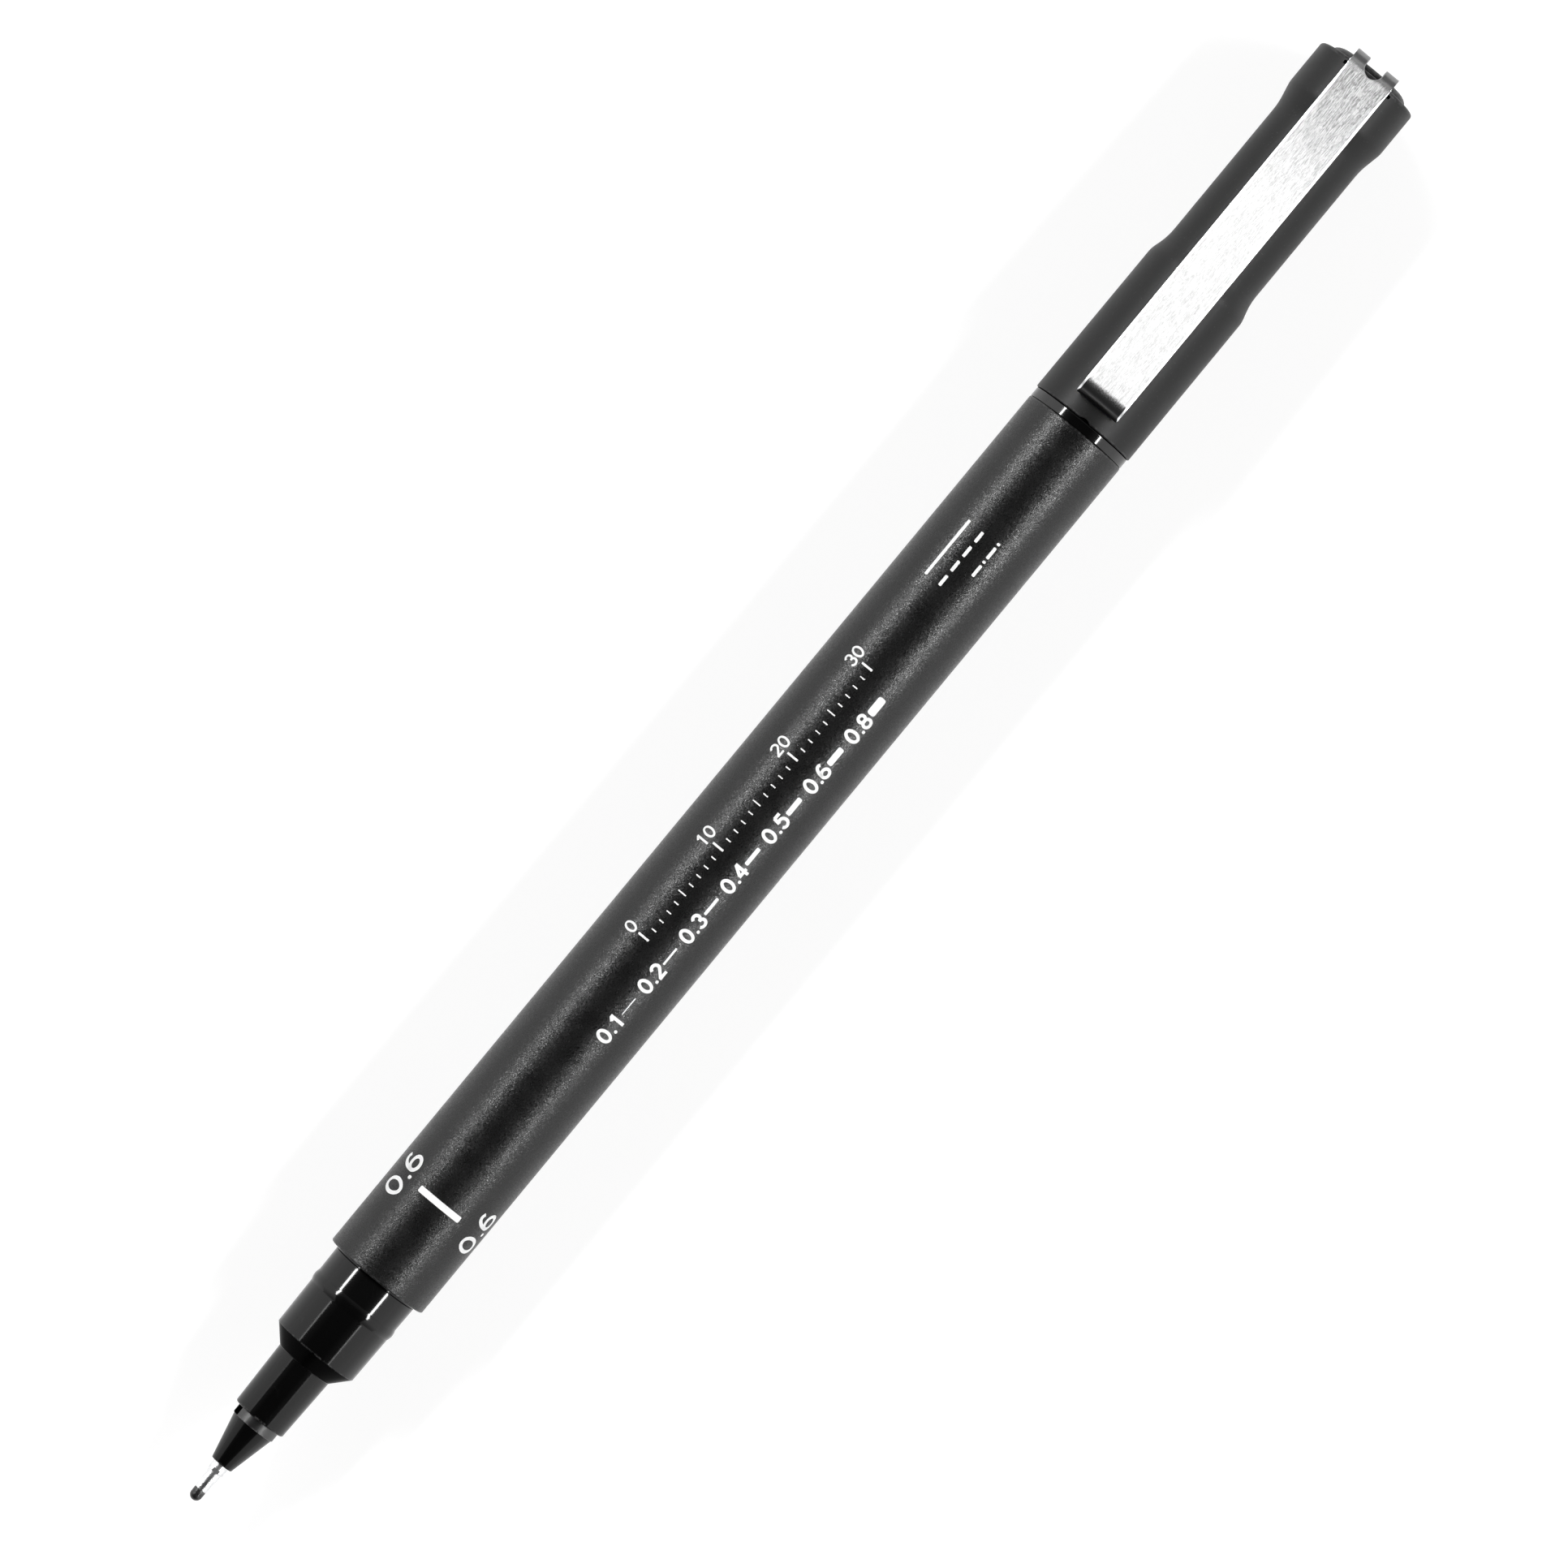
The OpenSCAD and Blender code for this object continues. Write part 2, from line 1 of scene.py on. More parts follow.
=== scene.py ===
"""Fineliner pen that lies with its clip uppermost and its cap pushed onto the tail.

Sizes are millimetres in the classes and become metres when a mesh is made. The pen's axis runs
along X, with the writing point at the low end. Round pieces are outlines of station and radius
turned about the axis, the clip is a section carried along its bends, and the printed marks are
strokes wrapped round the barrel.
"""

import logging
import math
from dataclasses import dataclass
from enum import Enum
from typing import Sequence

import bmesh
import bpy
import numpy as np
from bpy.types import Material, Mesh, Node, NodeOutputs, NodeSocket, NodeTree, Object
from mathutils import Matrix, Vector


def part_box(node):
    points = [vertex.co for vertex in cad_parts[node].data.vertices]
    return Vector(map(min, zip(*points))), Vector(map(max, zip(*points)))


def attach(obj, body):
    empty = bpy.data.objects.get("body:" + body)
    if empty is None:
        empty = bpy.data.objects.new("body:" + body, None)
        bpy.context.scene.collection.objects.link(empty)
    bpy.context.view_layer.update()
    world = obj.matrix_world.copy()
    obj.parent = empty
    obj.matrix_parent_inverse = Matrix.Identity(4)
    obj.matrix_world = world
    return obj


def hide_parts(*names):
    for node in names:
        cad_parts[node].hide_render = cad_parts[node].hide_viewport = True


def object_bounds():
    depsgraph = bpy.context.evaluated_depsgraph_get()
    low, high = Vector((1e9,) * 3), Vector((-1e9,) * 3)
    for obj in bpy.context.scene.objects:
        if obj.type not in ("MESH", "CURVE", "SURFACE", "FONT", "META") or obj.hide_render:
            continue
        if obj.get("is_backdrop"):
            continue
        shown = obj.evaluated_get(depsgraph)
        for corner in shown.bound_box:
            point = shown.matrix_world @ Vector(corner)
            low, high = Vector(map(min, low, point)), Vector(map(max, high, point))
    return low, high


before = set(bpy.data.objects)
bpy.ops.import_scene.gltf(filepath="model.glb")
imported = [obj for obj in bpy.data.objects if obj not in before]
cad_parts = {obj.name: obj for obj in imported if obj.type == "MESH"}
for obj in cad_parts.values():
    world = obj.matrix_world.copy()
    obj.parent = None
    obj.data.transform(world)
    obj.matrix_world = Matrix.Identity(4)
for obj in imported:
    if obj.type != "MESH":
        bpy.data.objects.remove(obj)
CAD_BOX = [list(corner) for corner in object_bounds()]

MM = 0.001
# Length in mm below which two places are one
SAME = 1e-6
# Name of the clip's map, which runs along its strip and turns the brushing
STRIP_UV = "strip"
log = logging.getLogger("pen")


def box_mm(node: str) -> np.ndarray:
    """Box of a CAD node at rest.

    Args:
        node: name of the node.
    Returns:
        The lowest and the highest corner in mm, as rows.
    """
    return np.array([list(corner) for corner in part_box(node)]) / MM


# Height of the pen's axis above the surface that it lies on: the radius of its thickest piece
AXIS_Z = (CAD_BOX[1][1] - CAD_BOX[0][1]) / 2 / MM


def span(node: str) -> tuple[float, float]:
    """Stations of a CAD node's two ends.

    Args:
        node: name of the node.
    Returns:
        The low and the high station in mm.
    """
    low, high = box_mm(node)[:, 0]
    return float(low), float(high)


@dataclass(frozen=True)
class Corner:
    """Corner of a turned outline.

    The fillet is the radius of its rounding, a smooth corner is a sample of a curve, and a worn
    one shows wear along its edge.
    """
    x: float
    r: float
    fillet: float = 0.0
    smooth: bool = False
    worn: bool = False


class Outline:
    """Outline of a turned piece, with rounded corners and a true normal at every point.

    A corner with turn T and fillet f becomes an arc from f tan(T / 2) before it to as far behind
    it. The outline runs with the solid on its right, so the normal is its direction turned left.
    """
    # Widest step of an arc, and its least count of steps
    ARC_STEP = math.radians(15)
    ARC_STEPS = 3
    # Turn, and reach in mm, below which a corner isn't rounded
    LEAST_TURN = 1e-3
    LEAST_REACH = 1e-4
    # Distance in mm of the added rows from the ends of a line
    SUPPORT = 0.12

    def __init__(self, corners: Sequence[Corner], closed: bool) -> None:
        """Works out the rows of the outline.

        Args:
            corners: the corners in order, in mm.
            closed: whether the outline is a ring, as in a tube, or runs from axis to axis.
        """
        self.closed = closed
        place = np.array([[c.x, c.r] for c in corners])
        ahead = np.roll(place, -1, 0) - place
        length = np.linalg.norm(ahead, axis=1)
        way = ahead / np.maximum(length, SAME)[:, None]
        fillets = np.array([c.fillet for c in corners])
        rows: list[tuple] = []
        for i, corner in enumerate(corners):
            if not closed and i == 0:
                rows.append((place[i], self._left(way[i]), self._left(way[i]), 0.0))
            elif not closed and i == len(corners) - 1:
                rows.append((place[i], self._left(way[i - 1]), self._left(way[i - 1]), 0.0))
            else:
                nearby = fillets[[i - 1, (i + 1) % len(corners)]]
                share = corner.fillet / np.maximum(corner.fillet + nearby, SAME)
                room = length[[i - 1, i]] * share
                rows.extend(self._turn(corner, place[i], way[i - 1], way[i], room.min()))
        self.rows = self._supported(rows)

    @staticmethod
    def _left(way: np.ndarray) -> np.ndarray:
        """Direction turned left by a quarter: (x, r) becomes (-r, x)."""
        return np.stack([-way[..., 1], way[..., 0]], -1)

    def _turn(self, corner: Corner, at: np.ndarray, before: np.ndarray, after: np.ndarray,
              room: float) -> list[tuple]:
        """Rows of one corner.

        Args:
            corner: the corner.
            at: its place.
            before: direction of the line that arrives.
            after: direction of the line that leaves.
            room: length that the arc may take of each line.
        Returns:
            Rows of place, arriving normal, leaving normal and wear.
        """
        turn = math.atan2(before[0] * after[1] - before[1] * after[0], float(before @ after))
        wear = float(corner.worn)
        reach = min(corner.fillet * math.tan(abs(turn) / 2), room)
        if corner.smooth:
            normal = self._left(before) + self._left(after)
            normal = normal / np.linalg.norm(normal)
            return [(at, normal, normal, wear)]
        if reach < self.LEAST_REACH or abs(turn) < self.LEAST_TURN:
            return [(at, self._left(before), self._left(after), wear)]
        radius = reach / math.tan(abs(turn) / 2)
        steps = max(self.ARC_STEPS, math.ceil(abs(turn) / self.ARC_STEP))
        angle = np.linspace(0, turn, steps + 1)
        cos, sin = np.cos(angle), np.sin(angle)
        way = np.stack([before[0] * cos - before[1] * sin, before[0] * sin + before[1] * cos], 1)
        normal = self._left(way)
        side = math.copysign(radius, turn)
        centre = at - before * reach + self._left(before) * side
        return [(p, n, n, wear) for p, n in zip(centre - normal * side, normal)]

    def _supported(self, rows: list[tuple]) -> dict[str, np.ndarray]:
        """Rows with one more near each end of every long line, which keep wear to the edges.

        Args:
            rows: place, arriving normal, leaving normal and wear of each row.
        Returns:
            Arrays by name: place, arrive, leave and wear.
        """
        full: list[tuple] = []
        last = len(rows) if self.closed else len(rows) - 1
        for i, row in enumerate(rows):
            if full and np.linalg.norm(full[-1][0] - row[0]) < SAME:
                full[-1] = (full[-1][0], full[-1][1], row[2], max(full[-1][3], row[3]))
            else:
                full.append(row)
            if i == last:
                break
            gap = rows[(i + 1) % len(rows)][0] - row[0]
            size = np.linalg.norm(gap)
            if size > 4 * self.SUPPORT:
                for share in (self.SUPPORT / size, 1 - self.SUPPORT / size):
                    full.append((row[0] + gap * share, row[2], row[2], 0.0))
        names = ("place", "arrive", "leave", "wear")
        return {name: np.array([row[k] for row in full]) for k, name in enumerate(names)}

    def segments(self) -> tuple[np.ndarray, np.ndarray]:
        """Indices of the rows at both ends of each segment.

        Returns:
            Two arrays of row indices.
        """
        count = len(self.rows["place"])
        start = np.arange(count if self.closed else count - 1)
        return start, (start + 1) % count


@dataclass
class Surface:
    """Mesh data: points in mm, faces as tuples of indices, one normal for each face corner."""
    points: np.ndarray
    faces: list
    normals: np.ndarray
    wear: np.ndarray


def turned(outline: Outline, sides: int) -> Surface:
    """Surface of revolution about the pen's axis.

    The point at row i and turn a is (x_i, r_i sin a, r_i cos a), and its normal is the outline's
    normal turned alike. Rows on the axis become one point with a fan of triangles.

    Args:
        outline: the outline to turn.
        sides: number of steps round the axis.
    Returns:
        The surface, with faces that point outwards.
    """
    place = outline.rows["place"]
    angle = np.linspace(0, 2 * math.pi, sides, endpoint=False)
    ring = np.stack([np.sin(angle), np.cos(angle)], 1)
    on_axis = place[:, 1] < SAME
    sizes = np.where(on_axis, 1, sides)
    first = np.concatenate([[0], np.cumsum(sizes)[:-1]])
    points, wear = [], []
    for (x, r), pole, worn in zip(place, on_axis, outline.rows["wear"]):
        spokes = ring[:1] * 0 if pole else ring * r
        points.append(np.column_stack([np.full(len(spokes), x), spokes]))
        wear.append(np.full(len(spokes), worn))
    column = np.arange(sides)
    beside = (column + 1) % sides
    faces, normals = [], []
    for a, b in zip(*outline.segments()):
        if on_axis[a] and on_axis[b]:
            continue
        near, far = outline.rows["leave"][a], outline.rows["arrive"][b]
        corners = [(a, column, near), (b, column, far), (b, beside, far), (a, beside, near)]
        if on_axis[a]:
            corners = corners[:3]
        if on_axis[b]:
            corners = [corners[0], corners[1], corners[3]]
        index = [first[row] + (0 if on_axis[row] else 1) * step for row, step, _ in corners]
        normal = [np.column_stack([np.full(sides, n[0]), ring[step] * n[1]])
                  for _, step, n in corners]
        faces.extend(np.stack([np.broadcast_to(i, sides) for i in index], 1).tolist())
        normals.append(np.stack(normal, 1).reshape(-1, 3))
    return Surface(np.concatenate(points), faces, np.concatenate(normals), np.concatenate(wear))


def raised(points: np.ndarray) -> np.ndarray:
    """Points about the axis in mm, set at the axis' height and turned into metres.

    Args:
        points: rows of x, y and z, with z from the axis.
    Returns:
        Rows of x, y and z in metres, in the shared frame.
    """
    return (points + [0, 0, AXIS_Z]) * MM


def mesh_from(name: str, surface: Surface) -> Mesh:
    """Mesh of a surface, with its own normals and its wear as an attribute.

    Args:
        name: name of the mesh.
        surface: the surface.
    Returns:
        The mesh.
    """
    mesh = bpy.data.meshes.new(name)
    mesh.from_pydata(raised(surface.points).tolist(), [], surface.faces)
    mesh.polygons.foreach_set("use_smooth", np.ones(len(mesh.polygons), bool))
    mesh.attributes.new("worn_edge", "FLOAT", "POINT").data.foreach_set(
        "value", surface.wear.astype(np.float32))
    mesh.normals_split_custom_set(surface.normals.tolist())
    return mesh


def block(low: Sequence[float], high: Sequence[float]) -> Surface:
    """Rectangular cutter between two corners, given about the axis in mm.

    Args:
        low: lowest corner.
        high: highest corner.
    Returns:
        The closed surface of the block.
    """
    pick = np.array([[i, j, k] for i in (0, 1) for j in (0, 1) for k in (0, 1)])
    points = np.where(pick, np.array(high, float), np.array(low, float))
    faces = [[0, 1, 3, 2], [4, 6, 7, 5], [0, 4, 5, 1], [2, 3, 7, 6], [0, 2, 6, 4], [1, 5, 7, 3]]
    ways = [[-1, 0, 0], [1, 0, 0], [0, -1, 0], [0, 1, 0], [0, 0, -1], [0, 0, 1]]
    return Surface(points, faces, np.repeat(np.array(ways, float), 4, 0), np.zeros(8))


def rolled(surface: Surface, angle: float) -> Surface:
    """Surface rolled about the axis, from the top towards the -Y side for a positive angle.

    Args:
        surface: the surface.
        angle: the roll in degrees.
    Returns:
        The rolled surface.
    """
    cos, sin = math.cos(math.radians(angle)), math.sin(math.radians(angle))
    turn = np.array([[1, 0, 0], [0, cos, -sin], [0, sin, cos]])
    return Surface(surface.points @ turn.T, surface.faces, surface.normals @ turn.T, surface.wear)


class Join(Enum):
    """What a second solid does to the first."""
    CUT = "DIFFERENCE"
    ADD = "UNION"


def joined(mesh: Mesh, outline: Outline, tools: Sequence[Surface], how: Join) -> Mesh:
    """Mesh of a turned piece after cuts or additions, with the turned faces' true normals.

    Args:
        mesh: mesh of the turned piece.
        outline: its outline, from which the normals are taken again.
        tools: surfaces of the other solids.
        how: whether they are cut away or added.
    Returns:
        The new mesh.
    """
    scene = bpy.context.scene.collection
    piece = bpy.data.objects.new("blank", mesh)
    scene.objects.link(piece)
    others = []
    for tool in tools:
        other = bpy.data.objects.new("tool", mesh_from("tool", tool))
        scene.objects.link(other)
        others.append(other)
        modifier = piece.modifiers.new("join", "BOOLEAN")
        modifier.operation, modifier.solver, modifier.object = how.value, "EXACT", other
    bpy.context.view_layer.update()
    graph = bpy.context.evaluated_depsgraph_get()
    made = bpy.data.meshes.new_from_object(piece.evaluated_get(graph))
    for used in [piece, *others]:
        data = used.data
        bpy.data.objects.remove(used)
        bpy.data.meshes.remove(data)
    settle_normals(made, outline)
    return made


def about_axis(raw: np.ndarray) -> tuple[np.ndarray, np.ndarray]:
    """Places about the axis, from a mesh's flat array of coordinates.

    Args:
        raw: coordinates in metres, one after the other.
    Returns:
        Rows of x, y and z in mm, and the distances from the axis.
    """
    place = raw.reshape(-1, 3) / MM - [0, 0, AXIS_Z]
    return place, np.maximum(np.hypot(place[:, 1], place[:, 2]), SAME)


# Cosine above which two normals are alike, and how near in mm a face lies to its own segment
ALIKE = 0.9
BESIDE = 0.03


def settle_normals(mesh: Mesh, outline: Outline) -> None:
    """Gives the turned faces of a cut mesh the outline's normals, and the others flat ones.

    A face belongs to the outline's segment nearest to its centre whose normal it shares to within
    a few degrees. At each of its corners the segment's two end normals are mixed by position.

    Args:
        mesh: the mesh, which is changed.
        outline: the outline that it was turned from.
    """
    a, b = outline.segments()
    start, stop = outline.rows["place"][a], outline.rows["place"][b]
    near, far = outline.rows["leave"][a], outline.rows["arrive"][b]
    along = stop - start
    size = np.maximum((along ** 2).sum(1), SAME ** 2)
    count = len(mesh.polygons)
    centre, normal = np.zeros(count * 3), np.zeros(count * 3)
    mesh.polygons.foreach_get("center", centre)
    mesh.polygons.foreach_get("normal", normal)
    normal = normal.reshape(-1, 3)
    centre, radius = about_axis(centre)
    lean = (normal[:, 1] * centre[:, 1] + normal[:, 2] * centre[:, 2]) / radius
    flat = np.stack([centre[:, 0], radius], 1)
    share = np.clip(((flat[:, None] - start) * along).sum(2) / size, 0, 1)
    gap = np.linalg.norm(flat[:, None] - start - share[..., None] * along, axis=2)
    middle = near + far
    middle /= np.linalg.norm(middle, axis=1)[:, None]
    alike = normal[:, :1] * middle[:, 0] + lean[:, None] * middle[:, 1]
    gap[alike < ALIKE] = np.inf
    chosen = gap.argmin(1)
    is_turned = gap[np.arange(count), chosen] < BESIDE

    corners = len(mesh.loops)
    vertex, place = np.zeros(corners, int), np.zeros(len(mesh.vertices) * 3)
    mesh.loops.foreach_get("vertex_index", vertex)
    mesh.vertices.foreach_get("co", place)
    totals = np.zeros(count, int)
    mesh.polygons.foreach_get("loop_total", totals)
    owner = np.repeat(np.arange(count), totals)
    place, radius = about_axis(place.reshape(-1, 3)[vertex].ravel())
    part = chosen[owner]
    here = np.stack([place[:, 0], radius], 1)
    share = np.clip(((here - start[part]) * along[part]).sum(1) / size[part], 0, 1)[:, None]
    mixed = near[part] * (1 - share) + far[part] * share
    mixed /= np.maximum(np.linalg.norm(mixed, axis=1), SAME)[:, None]
    around = place[:, 1:] / radius[:, None] * mixed[:, 1:]
    result = np.where(is_turned[owner][:, None], np.column_stack([mixed[:, :1], around]),
                      normal[owner])
    mesh.polygons.foreach_set("use_smooth", np.ones(count, bool))
    mesh.normals_split_custom_set(result.tolist())


def placed(name: str, mesh: Mesh, body: str, finishes: Sequence[Material],
           nodes: Sequence[str] = ()) -> Object:
    """Puts a finished mesh into the scene as a piece of a body.

    Args:
        name: name of the piece.
        mesh: its mesh, in metres and in place.
        body: CAD body that it moves with.
        finishes: its materials, in the order of the faces' indices.
        nodes: CAD nodes that it stands for.
    Returns:
        The piece.
    """
    piece = bpy.data.objects.new(name, mesh)
    bpy.context.scene.collection.objects.link(piece)
    for finish in finishes:
        mesh.materials.append(finish)
    if nodes:
        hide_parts(*nodes)
    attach(piece, body)
    log.info("%s: %d faces on %s", name, len(mesh.polygons), body)
    return piece


class Tree:
    """Short way to place and link nodes in one node tree."""

    def __init__(self, tree: NodeTree) -> None:
        """Keeps the tree that nodes go into."""
        self.tree = tree

    def add(self, kind: str, inputs: dict | None = None, **settings: object) -> Node:
        """Adds a node.

        Args:
            kind: type of the node, without the leading ShaderNode.
            inputs: values or output sockets for its inputs, by name or index.
            settings: properties of the node.
        Returns:
            The node.
        """
        node = self.tree.nodes.new(kind if kind.startswith("Node") else "ShaderNode" + kind)
        for name, value in settings.items():
            setattr(node, name, value)
        for key, value in (inputs or {}).items():
            self.feed(node, key, value)
        return node

    def feed(self, node: Node, key: str | int, value: object) -> None:
        """Sets an input of a node to a value, or links an output socket to it.

        Args:
            node: the node.
            key: name or index of the input.
            value: the value or the socket.
        """
        if isinstance(value, NodeSocket):
            self.tree.links.new(value, node.inputs[key])
        else:
            node.inputs[key].default_value = value

    def math(self, operation: str, a: object, b: object = 0.0, clamp: bool = False) -> object:
        """Output of a Math node.

        Args:
            operation: the operation.
            a: first value or socket.
            b: second value or socket.
            clamp: whether the result is kept between 0 and 1.
        Returns:
            The output socket.
        """
        return self.add("Math", {0: a, 1: b}, operation=operation, use_clamp=clamp).outputs[0]

    def total(self, *parts: object) -> object:
        """Sum of values or sockets.

        Args:
            parts: the values or sockets.
        Returns:
            The output socket.
        """
        result = parts[0]
        for part in parts[1:]:
            result = self.math("ADD", result, part)
        return result

    def times(self, a: object, b: object) -> object:
        """Product of two values or sockets."""
        return self.math("MULTIPLY", a, b)

    def noise(self, vector: object, scale: object, detail: float, roughness: float = 0.5) -> object:
        """Output of a Noise Texture.

        Args:
            vector: socket of the place.
            scale: value or socket of the scale.
            detail: how many finer layers it has.
            roughness: how strong the finer layers are.
        Returns:
            The output socket.
        """
        inputs = {"Vector": vector, "Scale": scale, "Detail": detail, "Roughness": roughness}
        return self.add("TexNoise", inputs).outputs[0]

    def cells(self, vector: object, scale: object) -> NodeOutputs:
        """Outputs of a Voronoi Texture: the distance to the cell's core and its random colour."""
        return self.add("TexVoronoi", {"Vector": vector, "Scale": scale}).outputs

    def bump(self, height: object, depth: float, strength: object = 1.0) -> Node:
        """Bump node.

        Args:
            height: socket of the height, from 0 to 1.
            depth: depth in mm of a height of 1.
            strength: value or socket of its strength.
        Returns:
            The node.
        """
        return self.add("Bump", {"Height": height, "Strength": strength, "Distance": depth * MM})

    def ramp(self, value: object, low: float, high: float, start: float = 0.0,
             end: float = 1.0) -> object:
        """Smooth step of a value, from start at low to end at high.

        Args:
            value: socket of the value.
            low: value at which the step starts.
            high: value at which the step ends.
            start: result below the step.
            end: result above the step.
        Returns:
            The output socket.
        """
        node = self.add("MapRange", {0: value, 1: low, 2: high, 3: start, 4: end},
                        interpolation_type="SMOOTHSTEP")
        return node.outputs[0]

    def mix(self, share: object, a: object, b: object) -> object:
        """Mix of two colours.

        Args:
            share: value or socket, 0 for the first and 1 for the second.
            a: first colour or socket.
            b: second colour or socket.
        Returns:
            The output socket.
        """
        node = self.add("Mix", {0: share, 6: a, 7: b}, data_type="RGBA")
        return node.outputs[2]

    def vector(self, operation: str, a: object, b: object = (0.0, 0.0, 0.0)) -> object:
        """Output of a Vector Math node."""
        return self.add("VectorMath", {0: a, 1: b}, operation=operation).outputs[0]

    def stretched(self, vector: object, scale: Sequence[float]) -> object:
        """Vector with each of its three parts multiplied by a scale.

        Args:
            vector: socket of the vector.
            scale: the three factors.
        Returns:
            The output socket.
        """
        node = self.add("Mapping", {"Vector": vector, "Scale": tuple(scale)}, vector_type="POINT")
        return node.outputs[0]


class Effect:
    """Node group that several finishes share."""

    def __init__(self, name: str, inputs: dict[str, object], outputs: Sequence[str]) -> None:
        """Makes the group's sockets.

        Args:
            name: name of the group.
            inputs: default of each input by name, None for a vector.
            outputs: names of the outputs, which are single values.
        """
        self.group = bpy.data.node_groups.new(name, "ShaderNodeTree")
        for key, value in inputs.items():
            kind = "NodeSocketVector" if value is None else "NodeSocketFloat"
            socket = self.group.interface.new_socket(name=key, in_out="INPUT", socket_type=kind)
            if value is not None:
                socket.default_value = value
        for key in outputs:
            self.group.interface.new_socket(name=key, in_out="OUTPUT",
                                            socket_type="NodeSocketFloat")
        self.tree = Tree(self.group)
        self.source = self.group.nodes.new("NodeGroupInput").outputs
        self.result = self.group.nodes.new("NodeGroupOutput")

    def give(self, name: str, socket: object) -> None:
        """Links a socket to one of the group's outputs."""
        self.tree.feed(self.result, name, socket)

    def use(self, tree: Tree, **inputs: object) -> NodeOutputs:
        """Places the group in a material.

        Args:
            tree: the material's tree.
            inputs: values or sockets for the group's inputs, with _ for spaces.
        Returns:
            The outputs of the placed group.
        """
        node = tree.add("Group", node_tree=self.group)
        for key, value in inputs.items():
            tree.feed(node, key.replace("_", " "), value)
        return node.outputs


# Grain: sizes of its clouds and rare spots against the fine grain, and the core of a spot
CLOUD_SCALE = 0.04
GLINT_SCALE = 0.7
GLINT_CORE = (0.2, 0.45)
# Levels between which most of a noise lies
NOISE_RANGE = (0.3, 0.7)


def grain_effect() -> Effect:
    """Moulded or sprayed grain: fine pits, broader unevenness, rare spots for painted highlights
    and pinholes.

    Returns:
        The effect, whose grain size is in mm.
    """
    effect = Effect("Surface grain", {"Vector": None, "Grain size": 0.1, "Glint share": 0.1},
                    ("Height", "Cloud", "Glint"))
    tree, vector = effect.tree, effect.source["Vector"]
    scale = tree.math("DIVIDE", 1 / MM, effect.source["Grain size"])
    cells = tree.cells(vector, tree.times(scale, GLINT_SCALE))
    lot = tree.add("SeparateColor", {0: cells["Color"]}).outputs[0]
    rare = tree.math("GREATER_THAN", lot, tree.math("SUBTRACT", 1.0, effect.source["Glint share"]))
    core = tree.ramp(cells["Distance"], *GLINT_CORE, 1.0, 0.0)
    effect.give("Height", tree.noise(vector, scale, 1.0, 0.6))
    effect.give("Cloud", tree.noise(vector, tree.times(scale, CLOUD_SCALE), 3.0))
    effect.give("Glint", tree.times(rare, core))
    return effect


# Scratches: turns of their two directions, half width on the noise, and scale of their patches
SCRATCH_TURNS = (0.35, -0.5)
SCRATCH_HALF = 0.005
SCRATCH_PATCHES = 0.8
# Level above which a patch keeps its scratches at amount 0, and how far it falls at amount 1
PATCH_LEVEL = 0.75
PATCH_FALL = 0.5


def scratch_effect() -> Effect:
    """Hair scratches: level lines of stretched noise in two directions, broken up by a third.

    Returns:
        The effect, whose length and width are in mm.
    """
    effect = Effect("Hair scratches", {"Vector": None, "Length": 2.0, "Width": 0.2, "Amount": 0.5},
                    ("Mask",))
    tree, vector = effect.tree, effect.source["Vector"]
    masks = []
    for turn in SCRATCH_TURNS:
        rotation = (turn, turn / 2, turn)
        rolled_place = tree.add("Mapping", {"Vector": vector, "Rotation": rotation},
                                vector_type="POINT").outputs[0]
        parts = tree.add("SeparateXYZ", {0: rolled_place}).outputs
        sizes = [effect.source[key] for key in ("Length", "Width", "Width")]
        shares = [tree.math("DIVIDE", part, size) for part, size in zip(parts, sizes)]
        place = tree.add("CombineXYZ", dict(enumerate(shares))).outputs[0]
        noise = tree.noise(place, 1 / MM, 0.0)
        off = tree.math("ABSOLUTE", tree.math("SUBTRACT", noise, 0.5))
        masks.append(tree.ramp(off, 0.0, SCRATCH_HALF, 1.0, 0.0))
    patch = tree.noise(vector, SCRATCH_PATCHES / MM, 2.0)
    low = tree.math("SUBTRACT", PATCH_LEVEL, tree.times(effect.source["Amount"], PATCH_FALL))
    kept = tree.math("GREATER_THAN", patch, low)
    effect.give("Mask", tree.times(tree.math("MAXIMUM", *masks), kept))
    return effect


# Wear: levels of the noise and of the edge attribute between which it sets in
WEAR_PATCHES = (0.42, 0.62)
WEAR_EDGE = (0.2, 1.0)


def wear_effect() -> Effect:
    """Worn edge: the edge attribute, broken up by noise.

    Returns:
        The effect, whose size is in mm.
    """
    effect = Effect("Worn edge", {"Vector": None, "Edge": 0.0, "Size": 0.4, "Amount": 0.6},
                    ("Mask",))
    tree = effect.tree
    scale = tree.math("DIVIDE", 1 / MM, effect.source["Size"])
    patches = tree.ramp(tree.noise(effect.source["Vector"], scale, 3.0), *WEAR_PATCHES)
    edge = tree.ramp(effect.source["Edge"], *WEAR_EDGE)
    effect.give("Mask", tree.times(tree.times(edge, patches), effect.source["Amount"]))
    return effect


GRAIN = grain_effect()
SCRATCHES = scratch_effect()
WORN_EDGE = wear_effect()


def grey(value: float, tint: float = 0.0) -> tuple[float, float, float, float]:
    """Neutral colour with a slight lean to blue.

    Args:
        value: its level.
        tint: share by which blue exceeds red.
    Returns:
        Red, green, blue and alpha.
    """
    return (value * (1 - tint / 2), value, value * (1 + tint / 2), 1.0)


def new_material(name: str) -> tuple[Material, Tree, Node]:
    """Empty material with a Principled shader.

    Args:
        name: name of the material.
    Returns:
        The material, its tree and the shader node.
    """
    material = bpy.data.materials.new(name)
    material.use_nodes = True
    return material, Tree(material.node_tree), material.node_tree.nodes["Principled BSDF"]


